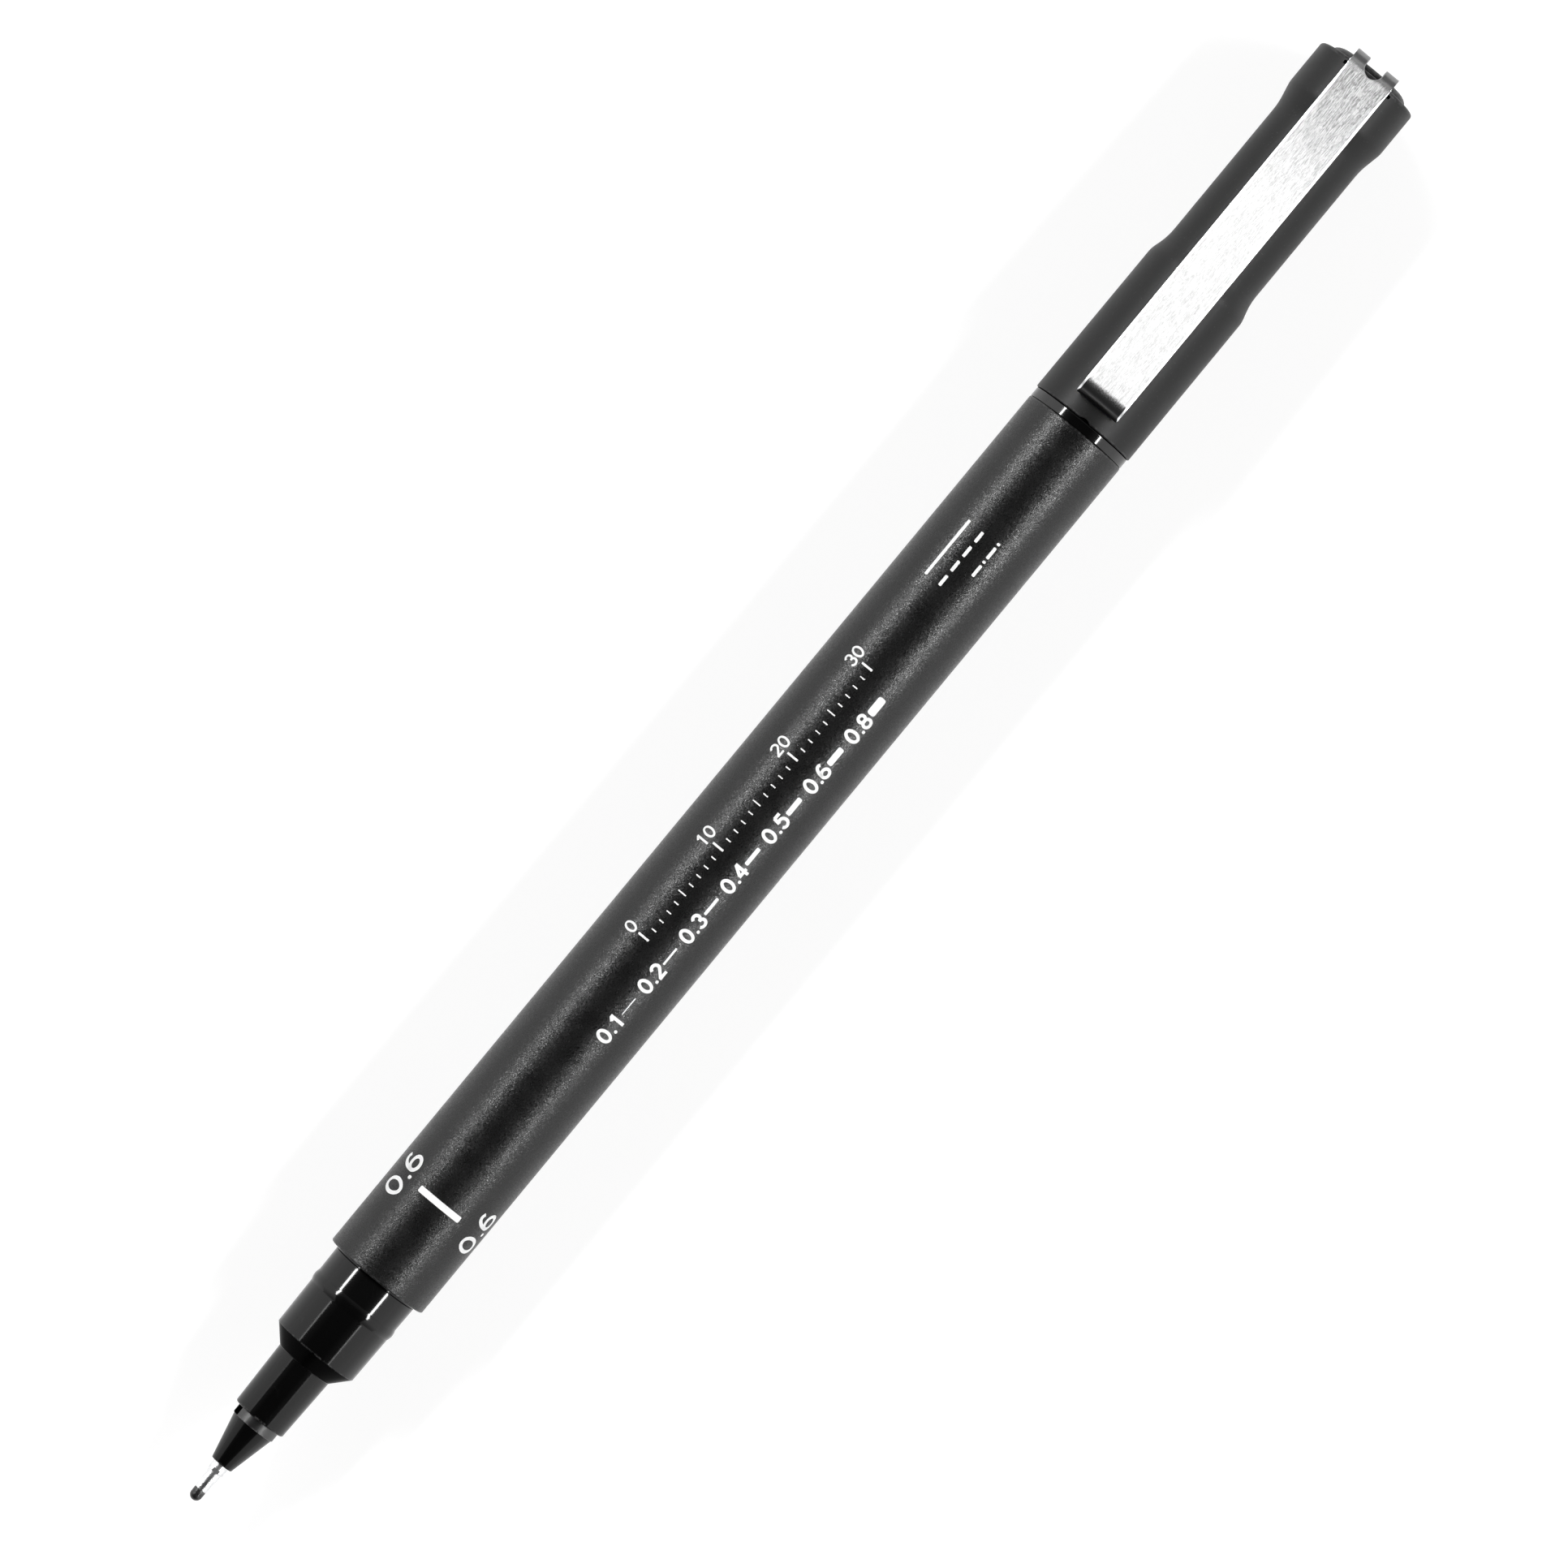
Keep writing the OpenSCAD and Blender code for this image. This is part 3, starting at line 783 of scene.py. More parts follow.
@dataclass(frozen=True)
class Finish:
    """Base of the finishes: a named material, and the links that they all have."""
    name: str

    def start(self) -> tuple[Material, Tree, Node, object]:
        """Starts the material.

        Returns:
            The material, its tree, its shader and the socket of the Object coordinates.
        """
        material, tree, shader = new_material(self.name)
        return material, tree, shader, tree.add("TexCoord").outputs["Object"]

    @staticmethod
    def link(tree: Tree, shader: Node, base: object, rough: object, bump: Node) -> None:
        """Gives the shader its colour, roughness and bump.

        Args:
            tree: the material's tree.
            shader: the shader.
            base: colour or its socket.
            rough: roughness or its socket.
            bump: the Bump node.
        """
        tree.feed(shader, "Base Color", base)
        tree.feed(shader, "Roughness", rough)
        tree.feed(shader, "Normal", bump.outputs[0])

    @staticmethod
    def streaks(tree: Tree, place: object, length: float, width: float, detail: float,
                roughness: float = 0.5) -> object:
        """Noise drawn out along the pen.

        Args:
            tree: the material's tree.
            place: socket of the Object coordinates.
            length: length of a streak in mm.
            width: width of a streak in mm.
            detail: how many finer layers it has.
            roughness: how strong the finer layers are.
        Returns:
            The output socket.
        """
        scale = (1 / (length * MM), 1 / (width * MM), 1 / (width * MM))
        return tree.noise(tree.stretched(place, scale), 1.0, detail, roughness)


@dataclass(frozen=True)
class MouldedPlastic(Finish):
    """Dark moulded plastic: grain, painted highlights on rare grains, handling scratches and worn
    edges.

    The sparkle is how much less rough the raised grains are, and the flake is twice how far the
    grains' normals lean. Both show in highlights only.
    """
    level: float
    roughness: float
    specular: float = 0.5
    grain_size: float = 0.1
    grain_depth: float = 0.0
    sparkle: float = 0.0
    flake: float = 0.0
    painted_glints: float = 0.0
    painted_glint_share: float = 0.1
    scratches: float = 0.0
    wear: float = 0.0

    UNEVEN_LEVEL = 0.14
    UNEVEN_ROUGHNESS = 0.06
    RAISED = (0.5, 0.68)
    # Grey of the rare grains, painted pale as highlights that stand in for sparkle
    PAINTED_GLINT_LEVEL = 0.35
    WORN_LEVEL, WORN_ROUGHNESS = 0.16, 0.2
    SCRATCH_LEN, SCRATCH_W = 16.0, 0.9
    SCRATCH_LEVEL, SCRATCH_SHARE, SCRATCH_ROUGHNESS = 0.03, 0.3, 0.15
    SCRATCH_FULL = 0.5

    def made(self) -> Material:
        """Builds the material.

        Returns:
            The material.
        """
        material, tree, shader, place = self.start()
        grain = GRAIN.use(tree, Vector=place, Grain_size=self.grain_size,
                          Glint_share=self.painted_glint_share)
        scratch = SCRATCHES.use(tree, Vector=place, Length=self.SCRATCH_LEN, Width=self.SCRATCH_W,
                                Amount=self.scratches)["Mask"]
        scratch = tree.times(scratch, min(1.0, self.scratches / self.SCRATCH_FULL))
        edge = tree.add("Attribute", attribute_name="worn_edge").outputs["Fac"]
        worn = WORN_EDGE.use(tree, Vector=place, Edge=edge, Amount=self.wear)["Mask"]
        cloud = tree.ramp(grain["Cloud"], *NOISE_RANGE)
        base = tree.mix(cloud, grey(self.level * (1 - self.UNEVEN_LEVEL)),
                        grey(self.level * (1 + self.UNEVEN_LEVEL)))
        # Painted highlights: rare grains get a pale grey that stands in for sparkle.
        base = tree.mix(tree.times(grain["Glint"], self.painted_glints), base, grey(self.PAINTED_GLINT_LEVEL))
        base = tree.mix(worn, base, grey(self.WORN_LEVEL))
        base = tree.mix(tree.times(scratch, self.SCRATCH_SHARE), base, grey(self.SCRATCH_LEVEL))
        rough = tree.ramp(cloud, 0.0, 1.0, self.roughness * (1 - self.UNEVEN_ROUGHNESS),
                          self.roughness * (1 + self.UNEVEN_ROUGHNESS))
        rough = tree.total(rough, tree.ramp(grain["Height"], *self.RAISED, 0.0, -self.sparkle))
        for mask, more in ((scratch, self.SCRATCH_ROUGHNESS), (worn, self.WORN_ROUGHNESS)):
            rough = tree.math("ADD", rough, tree.times(mask, more), clamp=True)
        bump = tree.bump(grain["Height"], self.grain_depth)
        if self.flake:
            tree.feed(bump, "Normal", self.facets(tree, place))
        self.link(tree, shader, base, rough, bump)
        shader.inputs["Specular IOR Level"].default_value = self.specular
        return material

    def facets(self, tree: Tree, place: object) -> object:
        """Normal that leans at random from grain to grain, by up to half the flake.

        Args:
            tree: the material's tree.
            place: socket of the Object coordinates.
        Returns:
            The socket of the normal.
        """
        chance = tree.cells(place, 1 / (self.grain_size * MM))["Color"]
        lean = tree.vector("SUBTRACT", chance, (0.5, 0.5, 0.5))
        lean = tree.vector("MULTIPLY", lean, (self.flake,) * 3)
        true_normal = tree.add("NewGeometry").outputs["Normal"]
        return tree.vector("NORMALIZE", tree.vector("ADD", true_normal, lean))


@dataclass(frozen=True)
class Steel(Finish):
    """Stainless steel with fine lines drawn out along the pen."""
    level: float
    roughness: float
    line_length: float
    line_width: float
    line_depth: float
    contrast: float

    BAND_LENGTH, BAND_WIDTH, BAND_SHARE = 0.35, 0.3, 0.3
    LINE_RANGE = (0.36, 0.58)
    UNEVEN_ROUGHNESS = 0.1

    def made(self) -> Material:
        """Builds the material.

        Returns:
            The material.
        """
        material, tree, shader, place = self.start()
        fine = self.streaks(tree, place, self.line_length, self.line_width, 4.0, 0.65)
        bands = self.streaks(tree, place, self.line_length / self.BAND_LENGTH,
                             self.line_width / self.BAND_WIDTH, 2.0)
        both = tree.total(tree.times(fine, 1 - self.BAND_SHARE),
                          tree.times(bands, self.BAND_SHARE))
        dark = grey(self.level * (1 - self.contrast), 0.02)
        base = tree.mix(tree.ramp(both, *self.LINE_RANGE), dark, grey(self.level, 0.01))
        rough = tree.ramp(bands, *NOISE_RANGE, self.roughness * (1 - self.UNEVEN_ROUGHNESS),
                          self.roughness * (1 + self.UNEVEN_ROUGHNESS))
        self.link(tree, shader, base, rough, tree.bump(fine, self.line_depth))
        shader.inputs["Metallic"].default_value = 1.0
        return material


@dataclass(frozen=True)
class BrushedStrip(Finish):
    """Steel strip brushed lengthwise: bright in the middle, streaked at the head, dull at bends.

    The streaks' darkening toward the head and the dark greys of the curl and top bend are painted
    shade. Lengths are in mm: the reach of that darkening toward the head, the curl from the free
    end, and the top bend from the other end.
    """
    level: float
    roughness: float
    bend_roughness: float
    anisotropy: float
    streak_depth: float
    head_shade_len: float
    curl_len: float
    curl_shade_level: float
    bend_len: float
    band_shade_level: float
    bend_shade_level: float

    # Length, width, detail and share of the fine, the short and the broad streaks
    STREAKS = ((0.9, 0.045, 2.0, 0.55), (0.22, 0.06, 1.0, 0.3), (2.6, 0.5, 2.0, 0.15))
    STREAK_RANGE = (0.38, 0.56)
    # Level of the dark streaks; for the painted shade at the head, dark and light levels and shift
    # to dark
    DARK_LEVEL, DARK_AT_HEAD, LIGHT_AT_HEAD, MORE_AT_HEAD = 0.7, 0.24, 0.78, 0.03
    RAGGED = 0.9
    CURL_EDGE = (-0.3, 0.5)
    BEND_EDGE = 0.12
    BAND = (0.3, 0.75)

    def made(self, free: float, head: float) -> Material:
        """Builds the material.

        Args:
            free: station of the free end.
            head: station of the head's end.
        Returns:
            The material.
        """
        material, tree, shader, place = self.start()
        station = tree.math("DIVIDE", tree.add("SeparateXYZ", {0: place}).outputs[0], MM)
        layers = [self.streaks(tree, place, length, width, detail, 0.6)
                  for length, width, detail, _ in self.STREAKS]
        value = tree.total(*[tree.times(layer, share)
                             for layer, (_, _, _, share) in zip(layers, self.STREAKS)])
        # Painted shade: toward the head the streaks turn darker, and more of them turn dark.
        shade_near_head = tree.ramp(station, head - self.head_shade_len, head - self.bend_len)
        value = tree.math("SUBTRACT", value, tree.times(shade_near_head, self.MORE_AT_HEAD))
        dark = tree.mix(shade_near_head, grey(self.level * self.DARK_LEVEL),
                        grey(self.level * self.DARK_AT_HEAD))
        light = tree.mix(shade_near_head, grey(self.level), grey(self.level * self.LIGHT_AT_HEAD))
        base = tree.mix(tree.ramp(value, *self.STREAK_RANGE), dark, light)
        uneven = tree.times(tree.math("SUBTRACT", layers[1], 0.5), self.RAGGED)
        ragged = tree.total(station, uneven)
        curl_from, curl_to = (free + self.curl_len + edge for edge in self.CURL_EDGE)
        # Painted shade: the curl gets a dark grey in place of the brushed colour, with a ragged
        # edge.
        curl = tree.ramp(ragged, curl_from, curl_to, 1.0, 0.0)
        base = tree.mix(curl, base, grey(self.curl_shade_level))
        start = head - self.bend_len
        # Painted shade at the top bend: a dark band where it starts, then a lighter grey beyond.
        bend = tree.ramp(ragged, start - self.BEND_EDGE, start + self.BEND_EDGE)
        past_band = tree.ramp(station, *(start + edge for edge in self.BAND))
        shade_at_bend = tree.mix(past_band, grey(self.band_shade_level), grey(self.bend_shade_level))
        base = tree.mix(bend, base, shade_at_bend)
        plain = tree.math("MAXIMUM", curl, bend)
        rough = tree.ramp(plain, 0.0, 1.0, self.roughness, self.bend_roughness)
        bump = tree.bump(layers[0], self.streak_depth, tree.math("SUBTRACT", 1.0, plain))
        self.link(tree, shader, base, rough, bump)
        across = tree.add("Tangent", direction_type="UV_MAP", uv_map=STRIP_UV)
        tree.feed(shader, "Tangent", across.outputs[0])
        shader.inputs["Metallic"].default_value = 1.0
        shader.inputs["Anisotropic"].default_value = self.anisotropy
        return material


@dataclass(frozen=True)
class PrintedInk(Finish):
    """White printed ink with pinholes where the grain below shows through."""
    level: float
    roughness: float
    grain_size: float
    grain_depth: float
    pinholes: float

    UNEVEN_LEVEL = 0.06
    PINHOLE_LEVEL, PINHOLE_SHARE = 0.2, 0.5

    def made(self) -> Material:
        """Builds the material.

        Returns:
            The material.
        """
        material, tree, shader, place = self.start()
        grain = GRAIN.use(tree, Vector=place, Grain_size=self.grain_size,
                          Glint_share=self.pinholes)
        cloud = tree.ramp(grain["Cloud"], *NOISE_RANGE)
        base = tree.mix(cloud, grey(self.level * (1 - self.UNEVEN_LEVEL)), grey(self.level))
        pinhole = tree.times(grain["Glint"], self.PINHOLE_SHARE)
        base = tree.mix(pinhole, base, grey(self.PINHOLE_LEVEL))
        self.link(tree, shader, base, self.roughness, tree.bump(grain["Height"], self.grain_depth))
        return material


@dataclass(frozen=True)
class SoftLiner(Finish):
    """Uncoloured soft plastic that lets a little light through, with flow marks."""
    dull_colour: tuple[float, ...] = (0.62, 0.62, 0.59, 1)
    clear_colour: tuple[float, ...] = (0.74, 0.74, 0.71, 1)
    grain_size: float = 0.25
    grain_depth: float = 0.01
    roughness: tuple[float, float] = (0.36, 0.46)
    light_share: float = 0.2
    light_reach: tuple[float, ...] = (0.8 * MM, 0.8 * MM, 0.7 * MM)

    def made(self) -> Material:
        """Builds the material.

        Returns:
            The material.
        """
        material, tree, shader, place = self.start()
        grain = GRAIN.use(tree, Vector=place, Grain_size=self.grain_size, Glint_share=0.0)
        cloud = tree.ramp(grain["Cloud"], *NOISE_RANGE)
        base = tree.mix(cloud, self.dull_colour, self.clear_colour)
        rough = tree.ramp(cloud, 0.0, 1.0, *self.roughness)
        self.link(tree, shader, base, rough, tree.bump(grain["Height"], self.grain_depth))
        shader.inputs["Subsurface Weight"].default_value = self.light_share
        shader.inputs["Subsurface Radius"].default_value = self.light_reach
        shader.inputs["Subsurface Scale"].default_value = 1.0
        return material


@dataclass(frozen=True)
class FibreBundle(Finish):
    """Ink-soaked fibres that run along the bundle."""
    wet_colour: tuple[float, ...] = (0.012, 0.012, 0.016, 1)
    dry_colour: tuple[float, ...] = (0.045, 0.045, 0.055, 1)
    fibre_len: float = 1 / 0.12
    fibre_w: float = 1 / 9
    fibre_depth: float = 0.04
    fibre_range: tuple[float, float] = (0.35, 0.65)
    roughness: tuple[float, float] = (0.4, 0.8)
    sheen: float = 0.3

    def made(self) -> Material:
        """Builds the material.

        Returns:
            The material.
        """
        material, tree, shader, place = self.start()
        fibre = self.streaks(tree, place, self.fibre_len, self.fibre_w, 3.0)
        base = tree.mix(tree.ramp(fibre, *self.fibre_range), self.wet_colour, self.dry_colour)
        rough = tree.ramp(fibre, *NOISE_RANGE, *self.roughness)
        self.link(tree, shader, base, rough, tree.bump(fibre, self.fibre_depth))
        shader.inputs["Sheen Weight"].default_value = self.sheen
        return material


@dataclass(frozen=True)
class ClearFilm(Finish):
    """Thin clear film with faint creases along it."""
    colour: tuple[float, ...] = (0.94, 0.95, 0.97, 1)
    crease_len: float = 20.0
    crease_w: float = 1 / 1.2
    crease_depth: float = 0.05
    roughness: tuple[float, float] = (0.06, 0.14)
    clearness: float = 0.9
    refraction: float = 1.49

    def made(self) -> Material:
        """Builds the material.

        Returns:
            The material.
        """
        material, tree, shader, place = self.start()
        fold = self.streaks(tree, place, self.crease_len, self.crease_w, 2.0)
        rough = tree.ramp(fold, *NOISE_RANGE, *self.roughness)
        self.link(tree, shader, self.colour, rough, tree.bump(fold, self.crease_depth))
        shader.inputs["Transmission Weight"].default_value = self.clearness
        shader.inputs["IOR"].default_value = self.refraction
        return material


POINT_PLASTIC = MouldedPlastic("point_plastic", level=0.012, roughness=0.3, specular=0.6,
                               grain_size=0.08, grain_depth=0.005, wear=0.5)
GLOSS_BLACK = MouldedPlastic("gloss_black", level=0.002, roughness=0.085, specular=0.35,
                             grain_size=0.3, grain_depth=0.0008, scratches=0.3, wear=0.2)
# Painted shade: a darker copy of the gloss black that hardly reflects, so that the shoulder stays
# dark.
SHADED_SHOULDER_BLACK = MouldedPlastic("shaded_shoulder_black", level=0.001, roughness=0.1, specular=0.01,
                                grain_size=0.3, grain_depth=0.0006, wear=0.2)
# Painted highlight: a copy of the gloss black that reflects more strongly, so that the flange's
# highlights come out brighter.
BRIGHTENED_FLANGE_BLACK = MouldedPlastic("brightened_flange_black", level=0.002, roughness=0.09, specular=0.6,
                              grain_size=0.3, grain_depth=0.0008, wear=0.2)
SATIN_BLACK = MouldedPlastic("satin_black", level=0.004, roughness=0.36, specular=0.9,
                             grain_size=0.1, grain_depth=0.003, wear=0.3)
BARREL_MATT = MouldedPlastic("barrel_matt", level=0.004, roughness=0.37, specular=0.44,
                             grain_size=0.1, grain_depth=0.01, sparkle=0.17, flake=0.15,
                             painted_glints=0.06, painted_glint_share=0.06, wear=0.15)
CAP_MATT = MouldedPlastic("cap_matt", level=0.006, roughness=0.45, specular=0.31, grain_size=0.1,
                          grain_depth=0.005, painted_glints=0.05, painted_glint_share=0.04, wear=0.2)
SLEEVE_STEEL = Steel("polished_steel", level=0.9, roughness=0.3, line_length=0.35,
                     line_width=0.14, line_depth=0.007, contrast=0.2)
BEVEL_STEEL = Steel("bevel_steel", level=0.95, roughness=0.3, line_length=4.0,
                    line_width=0.08, line_depth=0.0006, contrast=0.04)
PLAIN_STEEL = Steel("plain_steel", level=0.3, roughness=0.34, line_length=0.6,
                    line_width=0.3, line_depth=0.0015, contrast=0.12)
BRUSHED_STEEL = BrushedStrip("brushed_steel", level=0.7, roughness=0.6, bend_roughness=0.42,
                             anisotropy=0.9, streak_depth=0.004, head_shade_len=17.0, curl_len=1.25,
                             curl_shade_level=0.12, bend_len=1.42, band_shade_level=0.11, bend_shade_level=0.25)
WHITE_INK = PrintedInk("white_ink", level=0.86, roughness=0.5, grain_size=0.09,
                       grain_depth=0.004, pinholes=0.03)
LINER_PLASTIC = SoftLiner("natural_plastic")
INKED_FIBRE = FibreBundle("inked_fibre")
CLEAR_FILM = ClearFilm("clear_film")


@dataclass(frozen=True)
class Fit:
    """Sizes in mm that mating pieces share."""
    gap: float = 0.02
    barrel_r: float = 5.0
    spigot_r: float = 3.98
    seat_r: float = 3.25
    lead_in: float = 0.3
    bead_r: float = 4.32
    bead_len: float = 1.15
    snap_depth: float = 3.15
    mouth_r: float = 5.1
    head_r: float = 5.02
    hole_w: float = 1.72


FIT = Fit()
# Samples of a snap bead's outline
BEAD_STEPS = 25


def bead_corners(crest: float, length: float, before: float, after: float,
                 top: float) -> list[Corner]:
    """Snap bead: half a sine wave raised on the line between two radii.

    Args:
        crest: station of the crest.
        length: length of the bead.
        before: radius where it starts.
        after: radius where it ends.
        top: radius of the crest.
    Returns:
        Corners of the outline in order.
    """
    share = np.linspace(0, 1, BEAD_STEPS)
    base = before + (after - before) * share
    radius = base + (top - (before + after) / 2) * np.sin(math.pi * share)
    station = crest + length * (share - 0.5)
    return [Corner(x, r, smooth=True) for x, r in zip(station, radius)]


@dataclass
class WritingEnd:
    """Writing point, steel sleeve, vented holder and glossy front section.

    Sizes are in mm: radii end in r, and an edge or a foot is the fillet of an outer or an inner
    corner. The spacing of the crimp and the inset keep a second finish off the edge beside it.
    """
    sides: int = 128
    point_r: float = 0.57
    point_len: float = 1.13
    point_groove_x: float = 0.66
    point_groove: float = 0.025
    point_edge: float = 0.04
    rod_r: float = 0.45
    rod_taper: float = 1.6
    rod_edge: float = 0.5
    rod_end_r: float = 0.2
    sleeve_front_r: float = 0.585
    sleeve_rear_r: float = 0.68
    sleeve_len: float = 1.95
    sleeve_edge: float = 0.03
    collar_r: float = 0.765
    collar_edge: float = 0.06
    crimp_height: float = 0.69
    crimp_len: float = 0.34
    holder_tip_r: float = 1.06
    tip_edge: float = 0.06
    cone_r: float = 2.05
    cone_len: float = 4.23
    cone_edge: float = 0.05
    ring_r: float = 2.125
    ring_edge: float = 0.04
    ring_foot: float = 0.03
    stem_r: float = 1.65
    vent_w: float = 1.0
    vent_depth: float = 0.35
    vent_angle: float = 65.0
    nose_front_r: float = 2.55
    nose_rear_r: float = 2.71
    nose_len: float = 6.1
    nose_edge: float = 0.15
    nose_foot: float = 0.12
    shoulder_len: float = 1.55
    shoulder_inset: float = 0.05
    grip_front_r: float = 4.12
    grip_rear_r: float = 4.25
    grip_edge: float = 0.08
    relief_w: float = 0.2
    relief_depth: float = 0.14
    relief_edge: float = 0.04
    relief_foot: float = 0.05
    seat_x_after_stem: float = 0.4
    cavity_slope: float = 0.8

    def point(self) -> None:
        """Writing point: half-round end on a short cylinder, with the ink rod behind it."""
        low, high = span("nib")
        step = low + self.point_len
        ring = low + self.point_groove_x
        outline = Outline([
            Corner(low, 0), Corner(low, self.point_r, fillet=self.point_r),
            Corner(ring - self.point_groove, self.point_r),
            Corner(ring - self.point_groove, self.point_r - self.point_groove),
            Corner(ring + self.point_groove, self.point_r - self.point_groove),
            Corner(ring + self.point_groove, self.point_r),
            Corner(step, self.point_r, fillet=self.point_edge, worn=True),
            Corner(step, self.rod_r),
            Corner(high - self.rod_taper, self.rod_r, fillet=self.rod_edge),
            Corner(high, self.rod_end_r), Corner(high, 0)], closed=False)
        mesh = mesh_from("nib_point", turned(outline, self.sides))
        placed("nib_point", mesh, "pen", [POINT_PLASTIC.made()], ["nib"])

    def sleeve(self) -> None:
        """Steel sleeve: a slight taper, and the collar with the flats of its crimp."""
        low, high = span("nib_sleeve")
        step = low + self.sleeve_len
        bore = self.rod_r + FIT.gap
        outline = Outline([
            Corner(low, bore), Corner(low, self.sleeve_front_r, fillet=self.sleeve_edge),
            Corner(step, self.sleeve_rear_r, fillet=self.sleeve_edge),
            Corner(step, self.collar_r, fillet=self.collar_edge),
            Corner(high, self.collar_r), Corner(high, bore)], closed=True)
        flat = block([step - FIT.gap, -self.collar_r, self.crimp_height],
                     [step + self.crimp_len, self.collar_r, self.collar_r + 1])
        blank = mesh_from("sleeve_blank", turned(outline, self.sides))
        mesh = joined(blank, outline, [flat, rolled(flat, 180)], Join.CUT)
        placed("steel_sleeve", mesh, "pen", [SLEEVE_STEEL.made()],
               ["nib_sleeve"])

    def holder(self) -> None:
        """Nib holder: cone, satin ring and stem, with the two air vents cut along the stem."""
        low, high = span("nib_holder")
        ring, nose = low + self.cone_len, span("front_section")[0]
        sleeve_end = span("nib_sleeve")[1]
        sleeve_bore, rod_bore = self.collar_r + FIT.gap, self.rod_r + FIT.gap
        outline = Outline([
            Corner(low, sleeve_bore),
            Corner(low, self.holder_tip_r, fillet=self.tip_edge, worn=True),
            Corner(ring, self.cone_r, fillet=self.cone_edge),
            Corner(ring, self.ring_r, fillet=self.ring_edge, worn=True),
            Corner(nose, self.ring_r, fillet=self.ring_foot), Corner(nose, self.stem_r),
            Corner(high - FIT.lead_in, self.stem_r), Corner(high, self.stem_r - FIT.lead_in),
            Corner(high, rod_bore), Corner(sleeve_end, rod_bore),
            Corner(sleeve_end, sleeve_bore)], closed=True)
        slot = block([ring, -self.vent_w / 2, self.stem_r - self.vent_depth],
                     [high + 1, self.vent_w / 2, self.ring_r + 1])
        vents = [rolled(slot, -self.vent_angle + side) for side in (0, 180)]
        blank = mesh_from("holder_blank", turned(outline, self.sides))
        mesh = joined(blank, outline, vents, Join.CUT)
        self.pick(mesh, ring - FIT.gap, nose)
        placed("nib_holder_cone", mesh, "pen",
               [GLOSS_BLACK.made(), SATIN_BLACK.made()], ["nib_holder"])

    def front(self) -> None:
        """Front section: nose, shoulder, grip with its snap bead, relief groove and spigot."""
        low, high = span("front_section")
        barrel = span("barrel")[0]
        shoulder = low + self.nose_len
        grip = shoulder + self.shoulder_len
        crest = barrel - FIT.snap_depth
        ends = [crest - FIT.bead_len / 2, crest + FIT.bead_len / 2]
        foot = np.interp(ends, [grip, barrel], [self.grip_front_r, self.grip_rear_r])
        stem_bore = self.stem_r + FIT.gap
        seat = span("nib_holder")[1] + self.seat_x_after_stem
        groove = self.grip_rear_r - self.relief_depth
        outline = Outline([
            Corner(low, stem_bore),
            Corner(low, self.nose_front_r, fillet=self.nose_edge, worn=True),
            Corner(shoulder, self.nose_rear_r, fillet=self.nose_foot),
            Corner(grip, self.grip_front_r, fillet=self.grip_edge, worn=True),
            *bead_corners(crest, FIT.bead_len, *foot, FIT.bead_r),
            Corner(barrel - self.relief_w, self.grip_rear_r, fillet=self.relief_edge),
            Corner(barrel - self.relief_w, groove, fillet=self.relief_foot),
            Corner(barrel, groove),
            Corner(barrel, FIT.spigot_r), Corner(high - FIT.lead_in, FIT.spigot_r),
            Corner(high, FIT.spigot_r - FIT.lead_in), Corner(high, FIT.seat_r),
            Corner(seat, FIT.seat_r), Corner(seat - self.cavity_slope, stem_bore + FIT.gap),
            Corner(seat - self.cavity_slope, stem_bore)], closed=True)
        mesh = mesh_from("front_grip", turned(outline, 2 * self.sides))
        # The shoulder's faces get the darker copy of the gloss black, as painted shade.
        self.pick(mesh, shoulder + self.shoulder_inset, grip - FIT.gap)
        placed("front_grip", mesh, "pen",
               [GLOSS_BLACK.made(), SHADED_SHOULDER_BLACK.made()], ["front_section"])

    @staticmethod
    def pick(mesh: Mesh, start: float, stop: float) -> None:
        """Gives the second material to the faces whose centres lie between two stations.

        Args:
            mesh: the mesh, which is changed.
            start: the low station in mm.
            stop: the high station in mm.
        """
        centres = np.zeros(len(mesh.polygons) * 3)
        mesh.polygons.foreach_get("center", centres)
        station = centres[::3] / MM
        chosen = (station > start) & (station < stop)
        mesh.polygons.foreach_set("material_index", chosen.astype(np.int32))


